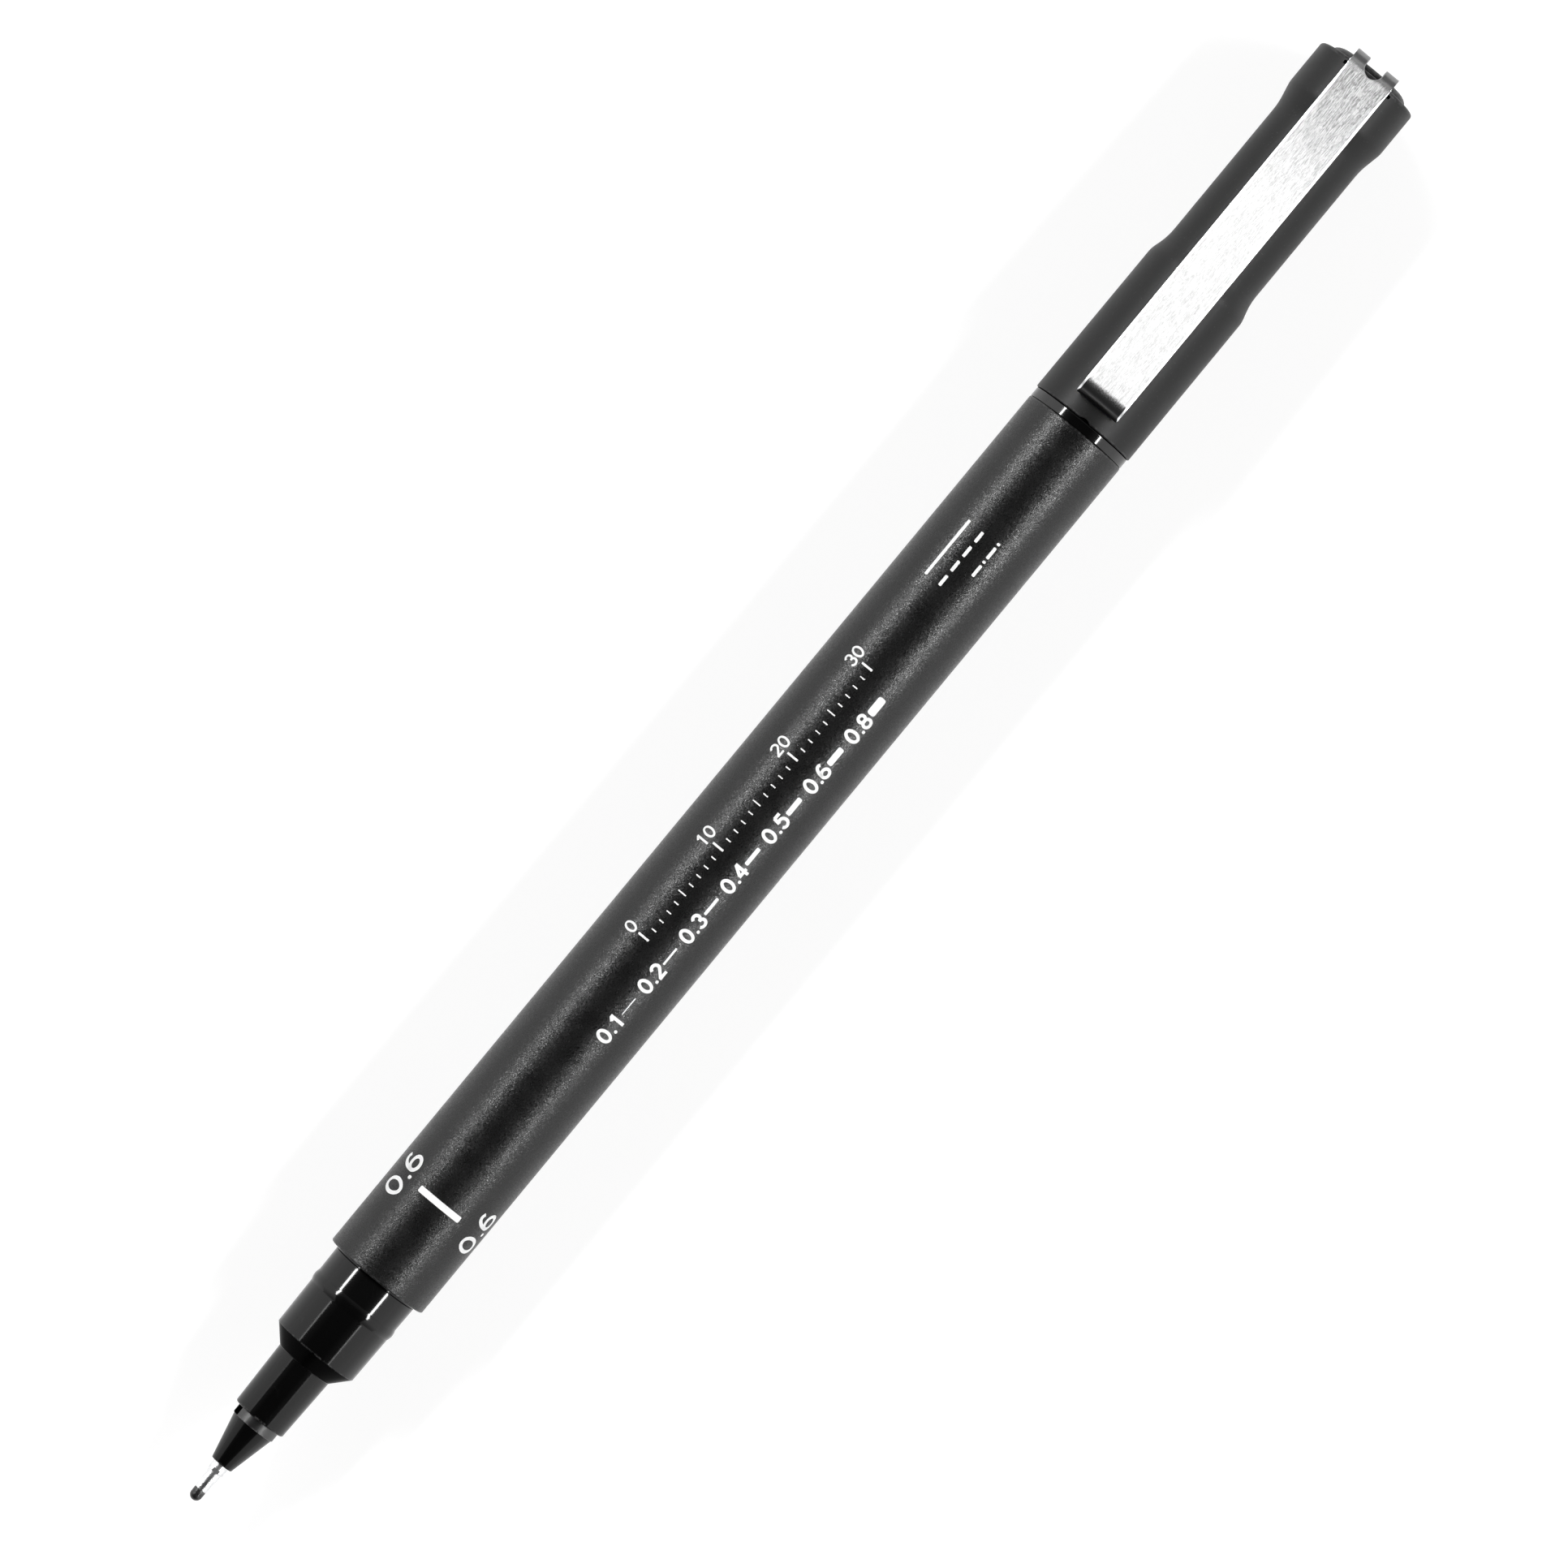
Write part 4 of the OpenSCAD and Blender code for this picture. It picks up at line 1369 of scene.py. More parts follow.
@dataclass
class BarrelAndTail:
    """Barrel, tail plug with its glossy flange, and the reservoir inside."""
    sides: int = 256
    bore_r: float = 4.0
    barrel_edge: float = 0.15
    flange_r: float = 4.98
    flange_edge: float = 0.1
    flange_len: float = 0.92
    plug_r: float = 4.225
    plug_edge: float = 0.6
    plug_end_wall: float = 1.2
    rib_w: float = 0.8
    stop_gap: float = 0.1

    def barrel(self) -> None:
        """Barrel: a plain tube with rounded edges."""
        low, high = span("barrel")
        outline = Outline([
            Corner(low, self.bore_r), Corner(low, FIT.barrel_r, self.barrel_edge, worn=True),
            Corner(high, FIT.barrel_r, self.barrel_edge, worn=True), Corner(high, self.bore_r)],
            closed=True)
        mesh = mesh_from("barrel_tube", turned(outline, self.sides))
        placed("barrel_tube", mesh, "pen", [BARREL_MATT.made()], ["barrel"])

    def tail(self) -> None:
        """Tail plug: spigot, flange, plug with its snap bead, and crossed ribs inside."""
        low, high = span("tail_plug")
        flange = span("barrel")[1]
        plug = flange + self.flange_len
        floor = high - self.plug_end_wall
        outline = Outline([
            Corner(floor, 0), Corner(floor, FIT.seat_r), Corner(low, FIT.seat_r),
            Corner(low, FIT.spigot_r - FIT.lead_in), Corner(low + FIT.lead_in, FIT.spigot_r),
            Corner(flange, FIT.spigot_r), Corner(flange, self.flange_r, self.flange_edge),
            Corner(plug, self.flange_r, self.flange_edge), Corner(plug, self.plug_r),
            *bead_corners(plug + FIT.snap_depth, FIT.bead_len, self.plug_r, self.plug_r,
                          FIT.bead_r),
            Corner(high, self.plug_r, self.plug_edge), Corner(high, 0)], closed=False)
        stop = span("ink_reservoir")[1] + self.stop_gap
        reach, half = FIT.seat_r + FIT.gap, self.rib_w / 2
        rib = block([stop, -reach, -half], [floor + FIT.gap, reach, half])
        blank = mesh_from("tail_blank", turned(outline, self.sides))
        mesh = joined(blank, outline, [rib, rolled(rib, 90)], Join.ADD)
        placed("tail_flange_plug", mesh, "pen", [BRIGHTENED_FLANGE_BLACK.made()],
               ["tail_plug"])

    def inside(self) -> None:
        """Dresses the reservoir's fibre bundle and its film, which keep their solids."""
        dress("ink_reservoir", INKED_FIBRE.made())
        dress("reservoir_film", CLEAR_FILM.made())


def dress(node: str, finish: Material) -> None:
    """Gives a CAD node that stays in the scene its finish.

    Args:
        node: name of the node.
        finish: its material.
    """
    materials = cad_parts[node].data.materials
    if len(materials):
        for index in range(len(materials)):
            materials[index] = finish
    else:
        materials.append(finish)
    log.info("%s: dressed with %s", node, finish.name)


@dataclass
class Cap:
    """Cap body with its gate mark and slot, crown, and the inner cap."""
    sides: int = 256
    mouth_taper: float = 0.03
    mouth_len: float = 15.4
    mouth_slope: float = 1.7
    waist_r: float = 4.585
    waist_len: float = 14.9
    head_slope: float = 2.1
    slope_edge: float = 2.4
    slope_foot: float = 6.0
    head_edge: float = 0.3
    bore_r: float = 4.36
    bore_len: float = 14.7
    snap_groove: float = 0.12
    seam: float = 0.05
    lip_edge: float = 0.12
    waist_bore_r: float = 3.5
    liner_flange_r: float = 4.15
    liner_flange_len: float = 0.7
    gate_w: float = 1.1
    gate_depth: float = 0.22
    gate_low: float = 1.0
    gate_sides: int = 64
    slot_w: float = 5.05
    slot_len: float = 0.35
    slot_from_end: float = 0.35
    slot_depth: float = 1.0
    crown_r: float = 4.1
    crown_edge: float = 1.0
    crown_seat: float = 2.2
    crown_groove: float = 0.16
    crown_stem_r: float = 3.45
    crown_stem_bore_r: float = 2.45
    tab_w: float = 1.365
    tab_gap: float = 0.14
    tab_depth: float = 1.54
    tab_rest: float = 0.04
    tab_low: float = 1.51
    tab_high: float = 2.33

    def shell(self) -> None:
        """Cap body: mouth end, waist and head, with the mark of the gate and the clip's slot."""
        low, high = span("cap_shell")
        slope = low + self.mouth_len
        waist = slope + self.mouth_slope
        head_slope = waist + self.waist_len
        head = head_slope + self.head_slope
        liner = low + self.bore_len
        liner_seat = liner + self.liner_flange_len
        seat = high - self.crown_seat
        groove = self.crown_groove
        recess = self.crown_r + groove
        snap, half = low + FIT.snap_depth - self.seam, FIT.bead_len / 2
        snap_r = self.bore_r + self.snap_groove
        flange_bore = self.liner_flange_r + FIT.gap
        outline = Outline([
            Corner(low, self.bore_r, self.lip_edge),
            Corner(low, FIT.mouth_r, self.lip_edge, worn=True),
            Corner(slope, FIT.mouth_r - self.mouth_taper, self.slope_edge),
            Corner(waist, self.waist_r, self.slope_foot),
            Corner(head_slope, self.waist_r, self.slope_foot),
            Corner(head, FIT.head_r, self.slope_edge),
            Corner(high, FIT.head_r, self.head_edge, worn=True),
            Corner(high, recess + groove), Corner(high - groove, recess),
            Corner(high - 3 * groove, self.crown_r + FIT.gap),
            Corner(seat, self.crown_r + FIT.gap), Corner(seat, self.waist_bore_r),
            Corner(liner_seat, self.waist_bore_r), Corner(liner_seat, flange_bore),
            Corner(liner, flange_bore), Corner(liner, self.bore_r),
            Corner(snap + half + self.snap_groove, self.bore_r), Corner(snap + half, snap_r),
            Corner(snap - half, snap_r), Corner(snap - half - self.snap_groove, self.bore_r)],
            closed=True)
        slot_x = high - self.slot_from_end
        slot = block([slot_x - self.slot_len, -self.slot_w / 2, FIT.head_r - self.slot_depth],
                     [slot_x, self.slot_w / 2, FIT.head_r + 1])
        blank = mesh_from("cap_blank", turned(outline, self.sides))
        mesh = joined(blank, outline, [slot, self.gate(low)], Join.CUT)
        placed("cap_body", mesh, "cap", [CAP_MATT.made()], ["cap_shell"])

    def gate(self, mouth: float) -> Surface:
        """Cutter of the gate mark: an upright cylinder that leaves a shallow curve in the lip.

        Its radius is (w w / 4 + d d) / 2 d for a mark of width w and depth d.

        Args:
            mouth: station of the cap's mouth.
        Returns:
            The cutter's surface.
        """
        sides = self.gate_sides
        radius = (self.gate_w ** 2 / 4 + self.gate_depth ** 2) / (2 * self.gate_depth)
        angle = np.linspace(0, 2 * math.pi, sides, endpoint=False)
        circle = np.stack([mouth + self.gate_depth - radius + radius * np.cos(angle),
                           radius * np.sin(angle)], 1)
        points = np.concatenate([np.column_stack([circle, np.full(sides, z)])
                                 for z in (self.gate_low, FIT.mouth_r + 1)])
        step = np.arange(sides)
        beside = (step + 1) % sides
        walls = np.stack([step, beside, beside + sides, step + sides], 1)
        faces = [step[::-1].tolist(), (step + sides).tolist(), *walls.tolist()]
        corners = sum(len(face) for face in faces)
        return Surface(points, faces, np.tile([0.0, 0.0, 1.0], (corners, 1)), np.zeros(2 * sides))

    def crown(self) -> None:
        """Crown: a disc with a rounded edge on a hollow stem, slotted for the clip's tabs."""
        low, high = span("cap_crown")
        seat = span("cap_shell")[1] - self.crown_seat
        outline = Outline([
            Corner(seat, 0), Corner(seat, self.crown_stem_bore_r),
            Corner(low, self.crown_stem_bore_r), Corner(low, self.crown_stem_r),
            Corner(seat, self.crown_stem_r), Corner(seat, self.crown_r),
            Corner(high, self.crown_r, self.crown_edge, worn=True), Corner(high, 0)], closed=False)
        middle, half = (FIT.hole_w + self.tab_w) / 2, self.tab_w / 2 + self.tab_gap
        floor = high - self.tab_depth + self.tab_rest
        slots = [block([floor, side * middle - half, self.tab_low],
                       [high + 1, side * middle + half, self.tab_high]) for side in (-1, 1)]
        blank = mesh_from("crown_blank", turned(outline, self.sides))
        mesh = joined(blank, outline, slots, Join.CUT)
        placed("crown_disc", mesh, "cap", [CAP_MATT.made()], ["cap_crown"])

    def inside(self) -> None:
        """Dresses the inner cap, which keeps its solid."""
        dress("inner_cap", LINER_PLASTIC.made())


class ClipFinish(Enum):
    """Finishes of the clip's faces, in the order of its materials."""
    BRUSHED = 0
    BEVEL = 1
    PLAIN = 2


@dataclass
class Clip:
    """Bent steel strip: two tabs in the crown, hole, top bend, arm and curled free end.

    The steps are counts of rows on the tabs' bend, the top bend, the curl and the hole's front,
    and the stride is the spacing of the rows on the arm.
    """
    width: float = 4.45
    sheet: float = 0.45
    bevel_w: float = 0.18
    bevel_depth: float = 0.1
    bend_r: float = 0.9
    curl_r: float = 1.1
    lug_r: float = 0.3
    lug_height: float = 2.4
    lug_len: float = 1.1
    hole_len: float = 1.6
    hole_rim: float = 0.07
    corner: float = 0.12
    back_edge: float = 0.04
    bevel_taper: float = 1.4
    curl_taper: float = 0.35
    least_taper: float = 0.08
    lug_steps: int = 9
    bend_steps: int = 31
    curl_steps: int = 29
    hole_steps: int = 15
    stride: float = 1.5
    end_row: float = 0.02
    riser_row: float = 0.05
    arm_gap: float = 0.22
    lip_gap: float = 0.04

    # Turn of the normal below which the strip is the riser or a tab
    RISER = math.radians(80)
    # Distance within which points merge, and length below which an edge goes
    WELD = 0.002 * MM
    SLIVER = 0.0005 * MM
    # Angle between two faces above which their edge is sharp
    SMOOTH = math.radians(18)
    # Corners of the half section at the hole: rim of the face, edge of the back, and wall
    AT_HOLE = [0, 5, 6]

    def route(self) -> tuple[np.ndarray, np.ndarray]:
        """Inner side of the strip from the tabs' ends to the curl's edge.

        Straight runs and arcs follow each other with one tangent. The outward normal turns from
        straight down at the tabs, past the way of the axis on the riser and straight up on the
        arm, to the nib end's way at the curl's edge. The arm's slope lets the curl touch the lip.

        Returns:
            Places of station and height from the axis, and the normal's angles.
        """
        free, back = span("clip")
        tab = back - self.sheet
        bend = np.array([tab - self.bend_r, FIT.head_r + self.arm_gap - self.bend_r])
        lug = np.array([tab - self.lug_r, self.lug_height])
        arm_len = bend[0] - (free + self.curl_r + self.sheet)
        drop = self.bend_r - self.curl_r
        fall = (FIT.mouth_r + self.lip_gap - bend[1]) / math.hypot(arm_len, drop)
        slope = math.asin(fall) - math.atan2(drop, arm_len)
        rise = math.pi / 2 - slope
        cos, sin = math.cos(slope), math.sin(slope)
        curl = bend + [-arm_len * cos + drop * sin, arm_len * sin + drop * cos]
        hole_x = back - self.hole_len + FIT.hole_w / 2
        turns = np.linspace(0, math.pi / 2, self.hole_steps)
        front = hole_x - (FIT.hole_w / 2 + self.hole_rim) * np.cos(turns)
        outer = self.bend_r + self.sheet
        straight = bend[0] + outer * math.cos(rise)
        on_bend = np.arccos((front[front > straight] - bend[0]) / outer)
        bend_turns = np.unique(np.concatenate([np.linspace(0, rise, self.bend_steps), on_bend]))
        near = (straight - front[front < straight]) / cos
        steps = np.concatenate([near[near > self.end_row / 2],
                                [self.end_row, arm_len - self.end_row],
                                np.arange(self.stride * 0.4, arm_len - self.stride * 0.2,
                                          self.stride)])
        bend_end = bend + self.bend_r * np.array([math.cos(rise), math.sin(rise)])
        parts = [
            (lug + [-self.lug_len, -self.lug_r], [-math.pi / 2]),
            self.arc(lug, self.lug_r, np.linspace(-math.pi / 2, 0, self.lug_steps)),
            (lug + [self.lug_r, self.riser_row], [0.0]),
            (np.array([tab, bend[1] - self.riser_row]), [0.0]),
            self.arc(bend, self.bend_r, bend_turns),
            (bend_end - np.sort(steps)[:, None] * [cos, -sin], np.full(len(steps), rise)),
            self.arc(curl, self.curl_r, np.linspace(rise, math.pi, self.curl_steps))]
        place = np.concatenate([np.atleast_2d(p) for p, _ in parts])
        return place, np.concatenate([np.atleast_1d(a) for _, a in parts])

    @staticmethod
    def arc(centre: np.ndarray, radius: float, turns: np.ndarray) -> tuple[np.ndarray, np.ndarray]:
        """Places on an arc, with their angles."""
        return centre + radius * np.stack([np.cos(turns), np.sin(turns)], 1), turns

    def side_limit(self, x: np.ndarray) -> np.ndarray:
        """Half width of the strip, narrowed by the rounded corners of its free end.

        Args:
            x: stations.
        Returns:
            Half widths.
        """
        short = np.clip(self.corner - (x - span("clip")[0]), 0, self.corner)
        return self.width / 2 - self.corner + np.sqrt(self.corner ** 2 - short ** 2)

    def hole_edge(self, x: np.ndarray, radius: float) -> np.ndarray:
        """Distance of the hole's edge from the middle: a half circle, then straight on.

        Args:
            x: stations.
            radius: radius of the half circle.
        Returns:
            Distances, 0 in front of the hole.
        """
        middle = span("clip")[1] - self.hole_len + FIT.hole_w / 2
        ahead = np.clip(middle - x, 0, radius)
        return np.sqrt(radius ** 2 - ahead ** 2)

    def half_section(self) -> tuple[np.ndarray, np.ndarray]:
        """Grid of one half of the clip, on the +Y side.

        Each row holds the section at one place of the route: hole rim, face, bevel, side, back
        and hole wall, in order round the steel. The bevel's width and fall shrink evenly with the
        distance left to the free end or to the top bend, down to a least share.

        Returns:
            Points by row and section corner, and the normal's angle of each row.
        """
        place, angle = self.route()
        out = np.stack([np.cos(angle), np.sin(angle)], 1)
        half = self.width / 2

        def at(depth: np.ndarray | float) -> np.ndarray:
            """Places at a height above the strip's inner side."""
            return place + out * np.broadcast_to(depth, len(place))[:, None]

        face = at(self.sheet)
        limit = self.side_limit(face[:, 0])
        rim = self.hole_edge(face[:, 0], FIT.hole_w / 2 + self.hole_rim)
        wall = self.hole_edge(face[:, 0], FIT.hole_w / 2)
        back = self.hole_edge(place[:, 0], FIT.hole_w / 2)
        rim_depth = np.clip(rim - wall, 0, self.hole_rim)
        free, head = span("clip")
        ahead = (head - self.sheet - self.bend_r - face[:, 0]) / self.bevel_taper
        behind = (face[:, 0] - free) / self.curl_taper
        taper = np.clip(np.minimum(behind, ahead), self.least_taper, 1)
        taper[angle < self.RISER] = self.least_taper
        bevel_out = np.minimum(half, limit)
        bevel_in = bevel_out - self.bevel_w * taper
        fall = self.bevel_depth * taper
        back_limit = self.side_limit(place[:, 0])
        corners = [(face, rim), (face, bevel_in), (at(self.sheet - fall), bevel_out),
                   (at(self.back_edge), np.minimum(half, back_limit)),
                   (place, back_limit - self.back_edge),
                   (place, back), (at(self.sheet - rim_depth), wall)]
        grid = np.stack([np.column_stack([p[:, 0], w, p[:, 1]]) for p, w in corners], 1)
        return grid, angle

    def build(self) -> None:
        """Builds both halves as one closed mesh and dresses it.

        Each side of the section gives a strip of faces from row to row. The hole's rim and walls
        have faces only where the hole is, and elsewhere the halves meet on the middle line.
        """
        grid, angle = self.half_section()
        rows, around = grid.shape[:2]
        right = np.concatenate([grid, grid * [1, -1, 1]])
        index = np.arange(rows * around).reshape(rows, around)
        a, b = index[:-1], index[1:]
        faces, kinds = [], []
        strips = [ClipFinish.BRUSHED, ClipFinish.BEVEL] + [ClipFinish.PLAIN] * (around - 2)
        run = np.concatenate([[0], np.cumsum(np.linalg.norm(np.diff(grid[:, 1], axis=0), axis=1))])
        open_wall = (grid[:, self.AT_HOLE, 1] > SAME).any(1)
        for side in (0, 1):
            shift = side * rows * around
            for j in range(around):
                k = (j + 1) % around
                quads = np.stack([a[:, j], a[:, k], b[:, k], b[:, j]], 1) + shift
                keep = np.ones(rows - 1, bool)
                if j in self.AT_HOLE and k in self.AT_HOLE:
                    keep = open_wall[:-1] | open_wall[1:]
                if side:
                    quads = quads[:, ::-1]
                kind = np.full(rows - 1, strips[j].value)
                if j == 1:
                    kind[angle[:-1] < self.RISER] = ClipFinish.BRUSHED.value
                faces.append(quads[keep])
                kinds.append(kind[keep])
            for end in (index[0][::-1], index[-1]):
                loop = (end + shift)[::-1] if side else end + shift
                kinds.append(np.full(1, ClipFinish.PLAIN.value))
                faces.append(loop[None, :])
        points = right.reshape(-1, 3)
        self.finish(points, faces, np.concatenate(kinds), run, around)

    def finish(self, points: np.ndarray, faces: list, kinds: np.ndarray, run: np.ndarray,
               around: int) -> None:
        """Makes the clip's mesh with its strip map, closes it and puts it in place.

        Args:
            points: all points in mm.
            faces: arrays of faces of like size.
            kinds: finish of each face.
            run: length along the strip at each row.
            around: corners in the half section.
        """
        mesh = bpy.data.meshes.new("clip_strip")
        lists = [face for part in faces for face in part.tolist()]
        mesh.from_pydata(raised(points).tolist(), [], lists)
        mesh.polygons.foreach_set("material_index", kinds.astype(np.int32))
        vertex = np.zeros(len(mesh.loops), int)
        mesh.loops.foreach_get("vertex_index", vertex)
        row = (vertex // around) % len(run)
        strip = np.stack([points[vertex, 1] / self.width + 0.5, run[row] / self.width], 1)
        layer = mesh.uv_layers.new(name=STRIP_UV)
        layer.data.foreach_set("uv", strip.astype(np.float32).ravel())
        self.weld(mesh)
        placed("clip_strip", mesh, "clip",
               [BRUSHED_STEEL.made(*span("clip")), BEVEL_STEEL.made(), PLAIN_STEEL.made()],
               ["clip"])

    def weld(self, mesh: Mesh) -> None:
        """Merges doubled points, drops faces without area and smooths along the bends only.

        Args:
            mesh: the mesh, which is changed.
        """
        work = bmesh.new()
        work.from_mesh(mesh)
        bmesh.ops.remove_doubles(work, verts=work.verts, dist=self.WELD)
        bmesh.ops.dissolve_degenerate(work, edges=work.edges, dist=self.SLIVER)
        bmesh.ops.recalc_face_normals(work, faces=work.faces)
        work.to_mesh(mesh)
        work.free()
        mesh.polygons.foreach_set("use_smooth", np.ones(len(mesh.polygons), bool))
        mesh.set_sharp_from_angle(angle=self.SMOOTH)


@dataclass(frozen=True)
class Lettering:
    """Height of the numerals in mm, their pitch along the barrel, and the strokes' width."""
    height: float
    pitch: float
    weight: float


@dataclass
class Print:
    """White marks on the barrel: line width, scale, widths with sample lines, line samples.

    Strokes are laid out flat, u along the axis and v round the barrel towards +Y, and wrapped:
    the point (u, v) lies at station u and at the turn v / r from the top. Strokes that cross lie
    in layers, a layer apart. Places along the barrel are taken from its front edge, and those of
    the line samples from its rear edge.
    """
    lift: float = 0.006
    layer: float = 0.0012
    layers: int = 5
    step: float = 0.07
    across: int = 4
    mark: Lettering = Lettering(2.25, 1.86, 0.36)
    mark_u: float = 6.4
    mark_rows: tuple[float, float] = (4.46, -5.23)
    bar_u: float = 8.52
    bar_ends: tuple[float, float] = (-2.53, 2.05)
    bar_w: float = 0.6
    scale: Lettering = Lettering(1.3, 0.95, 0.2)
    scale_u: float = 37.3
    scale_v: float = 0.35
    scale_tens: int = 3
    scale_ticks: tuple[float, float, float] = (1.15, 0.85, 0.5)
    tick_w: float = 0.12
    numbers_v: float = 2.1
    row: Lettering = Lettering(1.5, 1.12, 0.3)
    row_tenths: tuple[int, ...] = (1, 2, 3, 4, 5, 6, 8)
    row_u: float = 28.1
    row_v: float = -1.95
    row_pitch: float = 5.55
    row_gap: float = 0.1
    row_rule: float = 1.8
    samples_u: float = 17.8
    samples_w: float = 0.3
    solid_v: float = 2.2
    solid_len: float = 6.0
    dashed_v: float = 0.6
    dashes: int = 4
    dash_pitch: float = 1.6
    dash_len: float = 1.1
    chain_v: float = -1.1
    chain_u: float = 2.4
    chain_links: int = 2
    chain_pitch: float = 1.95
    chain_parts: tuple[tuple[float, float], ...] = ((0.0, 1.2), (1.45, 1.7))

    # Samples of a stroke's rounded end, and of a curved stroke
    END_STEPS = 5
    BOW_STEPS = 49
    # How far left of its tick a number of one or of two digits starts
    SCALE_SHIFT = (0.42, 0.85)
    # Shares of the pitch: width of the numerals' unit, their middle, and the room round a point
    UNIT, MIDDLE, BEFORE_POINT, AFTER_POINT = 0.84, 0.44, 0.1, 0.12
    # Shares of the strokes' width: a point's height on its line, its width and its corners
    POINT_LIFT, POINT_W, POINT_CORNER = 0.55, 1.05, 0.45
    # Shares of the strokes' width: corners of the lines along the barrel and round it
    RULE_CORNER, TICK_CORNER = 0.3, 0.2

    def __post_init__(self) -> None:
        """Starts with no strokes."""
        self.points: list[np.ndarray] = []
        self.faces: list[list[int]] = []
        self.count = 0
        self.strokes = 0

    def stroke(self, path: np.ndarray, width: float, rounding: float = 0.0,
               closed: bool = False) -> None:
        """Adds a ribbon of even width along a smooth path.

        The path is sampled at even steps and offset to both sides along its normal. Near an end
        the half width follows a quarter circle of the rounding's radius.

        Args:
            path: points of u and v in mm.
            width: width of the ribbon.
            rounding: radius of the ribbon's corners.
            closed: whether the path is a ring.
        """
        if closed:
            path = np.concatenate([path, path[:1]])
        reach = np.concatenate([[0], np.cumsum(np.linalg.norm(np.diff(path, axis=0), axis=1))])
        count = max(3, int(reach[-1] / self.step) + 1)
        at = np.linspace(0, reach[-1], count)
        if rounding:
            inset = rounding * (1 - np.cos(np.linspace(0, math.pi / 2, self.END_STEPS)))
            at = np.unique(np.concatenate([at, inset, reach[-1] - inset]))
        line = np.stack([np.interp(at, reach, path[:, k]) for k in (0, 1)], 1)
        way = np.gradient(line, at, axis=0)
        if closed:
            way[0] = way[-1] = line[1] - line[-2]
        way /= np.linalg.norm(way, axis=1)[:, None]
        normal = np.stack([-way[:, 1], way[:, 0]], 1)
        half = np.full(len(at), width / 2)
        if rounding:
            near = np.clip(rounding - np.minimum(at, reach[-1] - at), 0, rounding)
            half += np.sqrt(rounding ** 2 - near ** 2) - rounding
        across = np.linspace(1, -1, self.across)
        flat = line[:, None] + normal[:, None] * (half[:, None] * across)[..., None]
        if closed:
            flat = flat[:-1]
        lift = FIT.barrel_r + self.lift + self.layer * (self.strokes % self.layers)
        turn = flat[..., 1] / FIT.barrel_r
        ribbon = np.stack([flat[..., 0], lift * np.sin(turn), lift * np.cos(turn)], -1)
        rows = len(flat)
        index = np.arange(rows * self.across).reshape(rows, self.across) + self.count
        start = index if closed else index[:-1]
        stop = np.roll(index, -1, 0) if closed else index[1:]
        quads = np.stack([start[:, :-1], start[:, 1:], stop[:, 1:], stop[:, :-1]], -1)
        self.points.append(ribbon.reshape(-1, 3))
        self.faces.extend(quads.reshape(-1, 4).tolist())
        self.count += rows * self.across
        self.strokes += 1

    @staticmethod
    def bow(centre: tuple[float, float], size: tuple[float, float], start: float,
            stop: float) -> np.ndarray:
        """Part of an ellipse, between two angles in degrees."""
        angle = np.radians(np.linspace(start, stop, Print.BOW_STEPS))
        return np.array(centre) + np.stack([size[0] * np.cos(angle), size[1] * np.sin(angle)], 1)

    def numeral(self, digit: str) -> list[tuple[np.ndarray, bool]]:
        """Strokes of a numeral, one unit high and centred.

        Args:
            digit: the numeral, or a point.
        Returns:
            Paths, each with whether it is a ring.
        """
        def line(*points: tuple[float, float]) -> tuple[np.ndarray, bool]:
            """Straight stroke."""
            return np.array(points, float), False

        bow = self.bow
        six = np.concatenate([bow((0.03, -0.14), (0.33, 0.57), 62, 180),
                              bow((0.0, -0.19), (0.3, 0.24), 180, 540)])
        shapes = {
            "0": [(bow((0, 0), (0.3, 0.43), 0, 360)[:-1], True)],
            "1": [line((0.06, -0.5), (0.06, 0.5)), line((0.02, 0.43), (-0.2, 0.22))],
            "2": [(np.concatenate([bow((0, 0.19), (0.28, 0.24), 165, -35),
                                   [[-0.24, -0.4]]]), False), line((-0.34, -0.43), (0.33, -0.43))],
            "3": [(bow((-0.01, 0.21), (0.25, 0.22), 160, -90), False),
                  (bow((0, -0.2), (0.29, 0.23), 90, -160), False)],
            "4": [line((0.14, -0.5), (0.14, 0.5)), line((0.11, 0.43), (-0.28, -0.14)),
                  line((-0.35, -0.19), (0.36, -0.19))],
            "5": [line((0.28, 0.43), (-0.2, 0.43)), line((-0.18, 0.46), (-0.23, 0.02)),
                  (bow((-0.01, -0.14), (0.29, 0.29), 140, -155), False)],
            "6": [(six, False)],
            "7": [line((-0.32, 0.43), (0.34, 0.43)), line((0.29, 0.42), (-0.1, -0.5))],
            "8": [(bow((0, 0.22), (0.24, 0.21), 0, 360)[:-1], True),
                  (bow((0, -0.2), (0.29, 0.23), 0, 360)[:-1], True)],
            "9": [(-six, False)]}
        return shapes[digit]

    def number(self, text: str, u: float, v: float, style: Lettering) -> float:
        """Adds a number, with its left end and its middle line given.

        Args:
            text: digits and points.
            u: station of the left end.
            v: place of the middle line round the barrel.
            style: size of the numerals.
        Returns:
            The station where the number ends.
        """
        pitch, weight = style.pitch, style.weight
        for letter in text:
            if letter == ".":
                u += pitch * self.BEFORE_POINT
                low = v - style.height / 2 + weight * self.POINT_LIFT
                self.stroke(np.array([[u, low], [u + weight, low]]), weight * self.POINT_W,
                            rounding=weight * self.POINT_CORNER)
                u += weight + pitch * self.AFTER_POINT
                continue
            scale = [pitch / self.UNIT, style.height]
            centre = np.array([u + pitch * self.MIDDLE, v])
            for path, closed in self.numeral(letter):
                self.stroke(path * scale + centre, weight, closed=closed)
            u += pitch
        return u

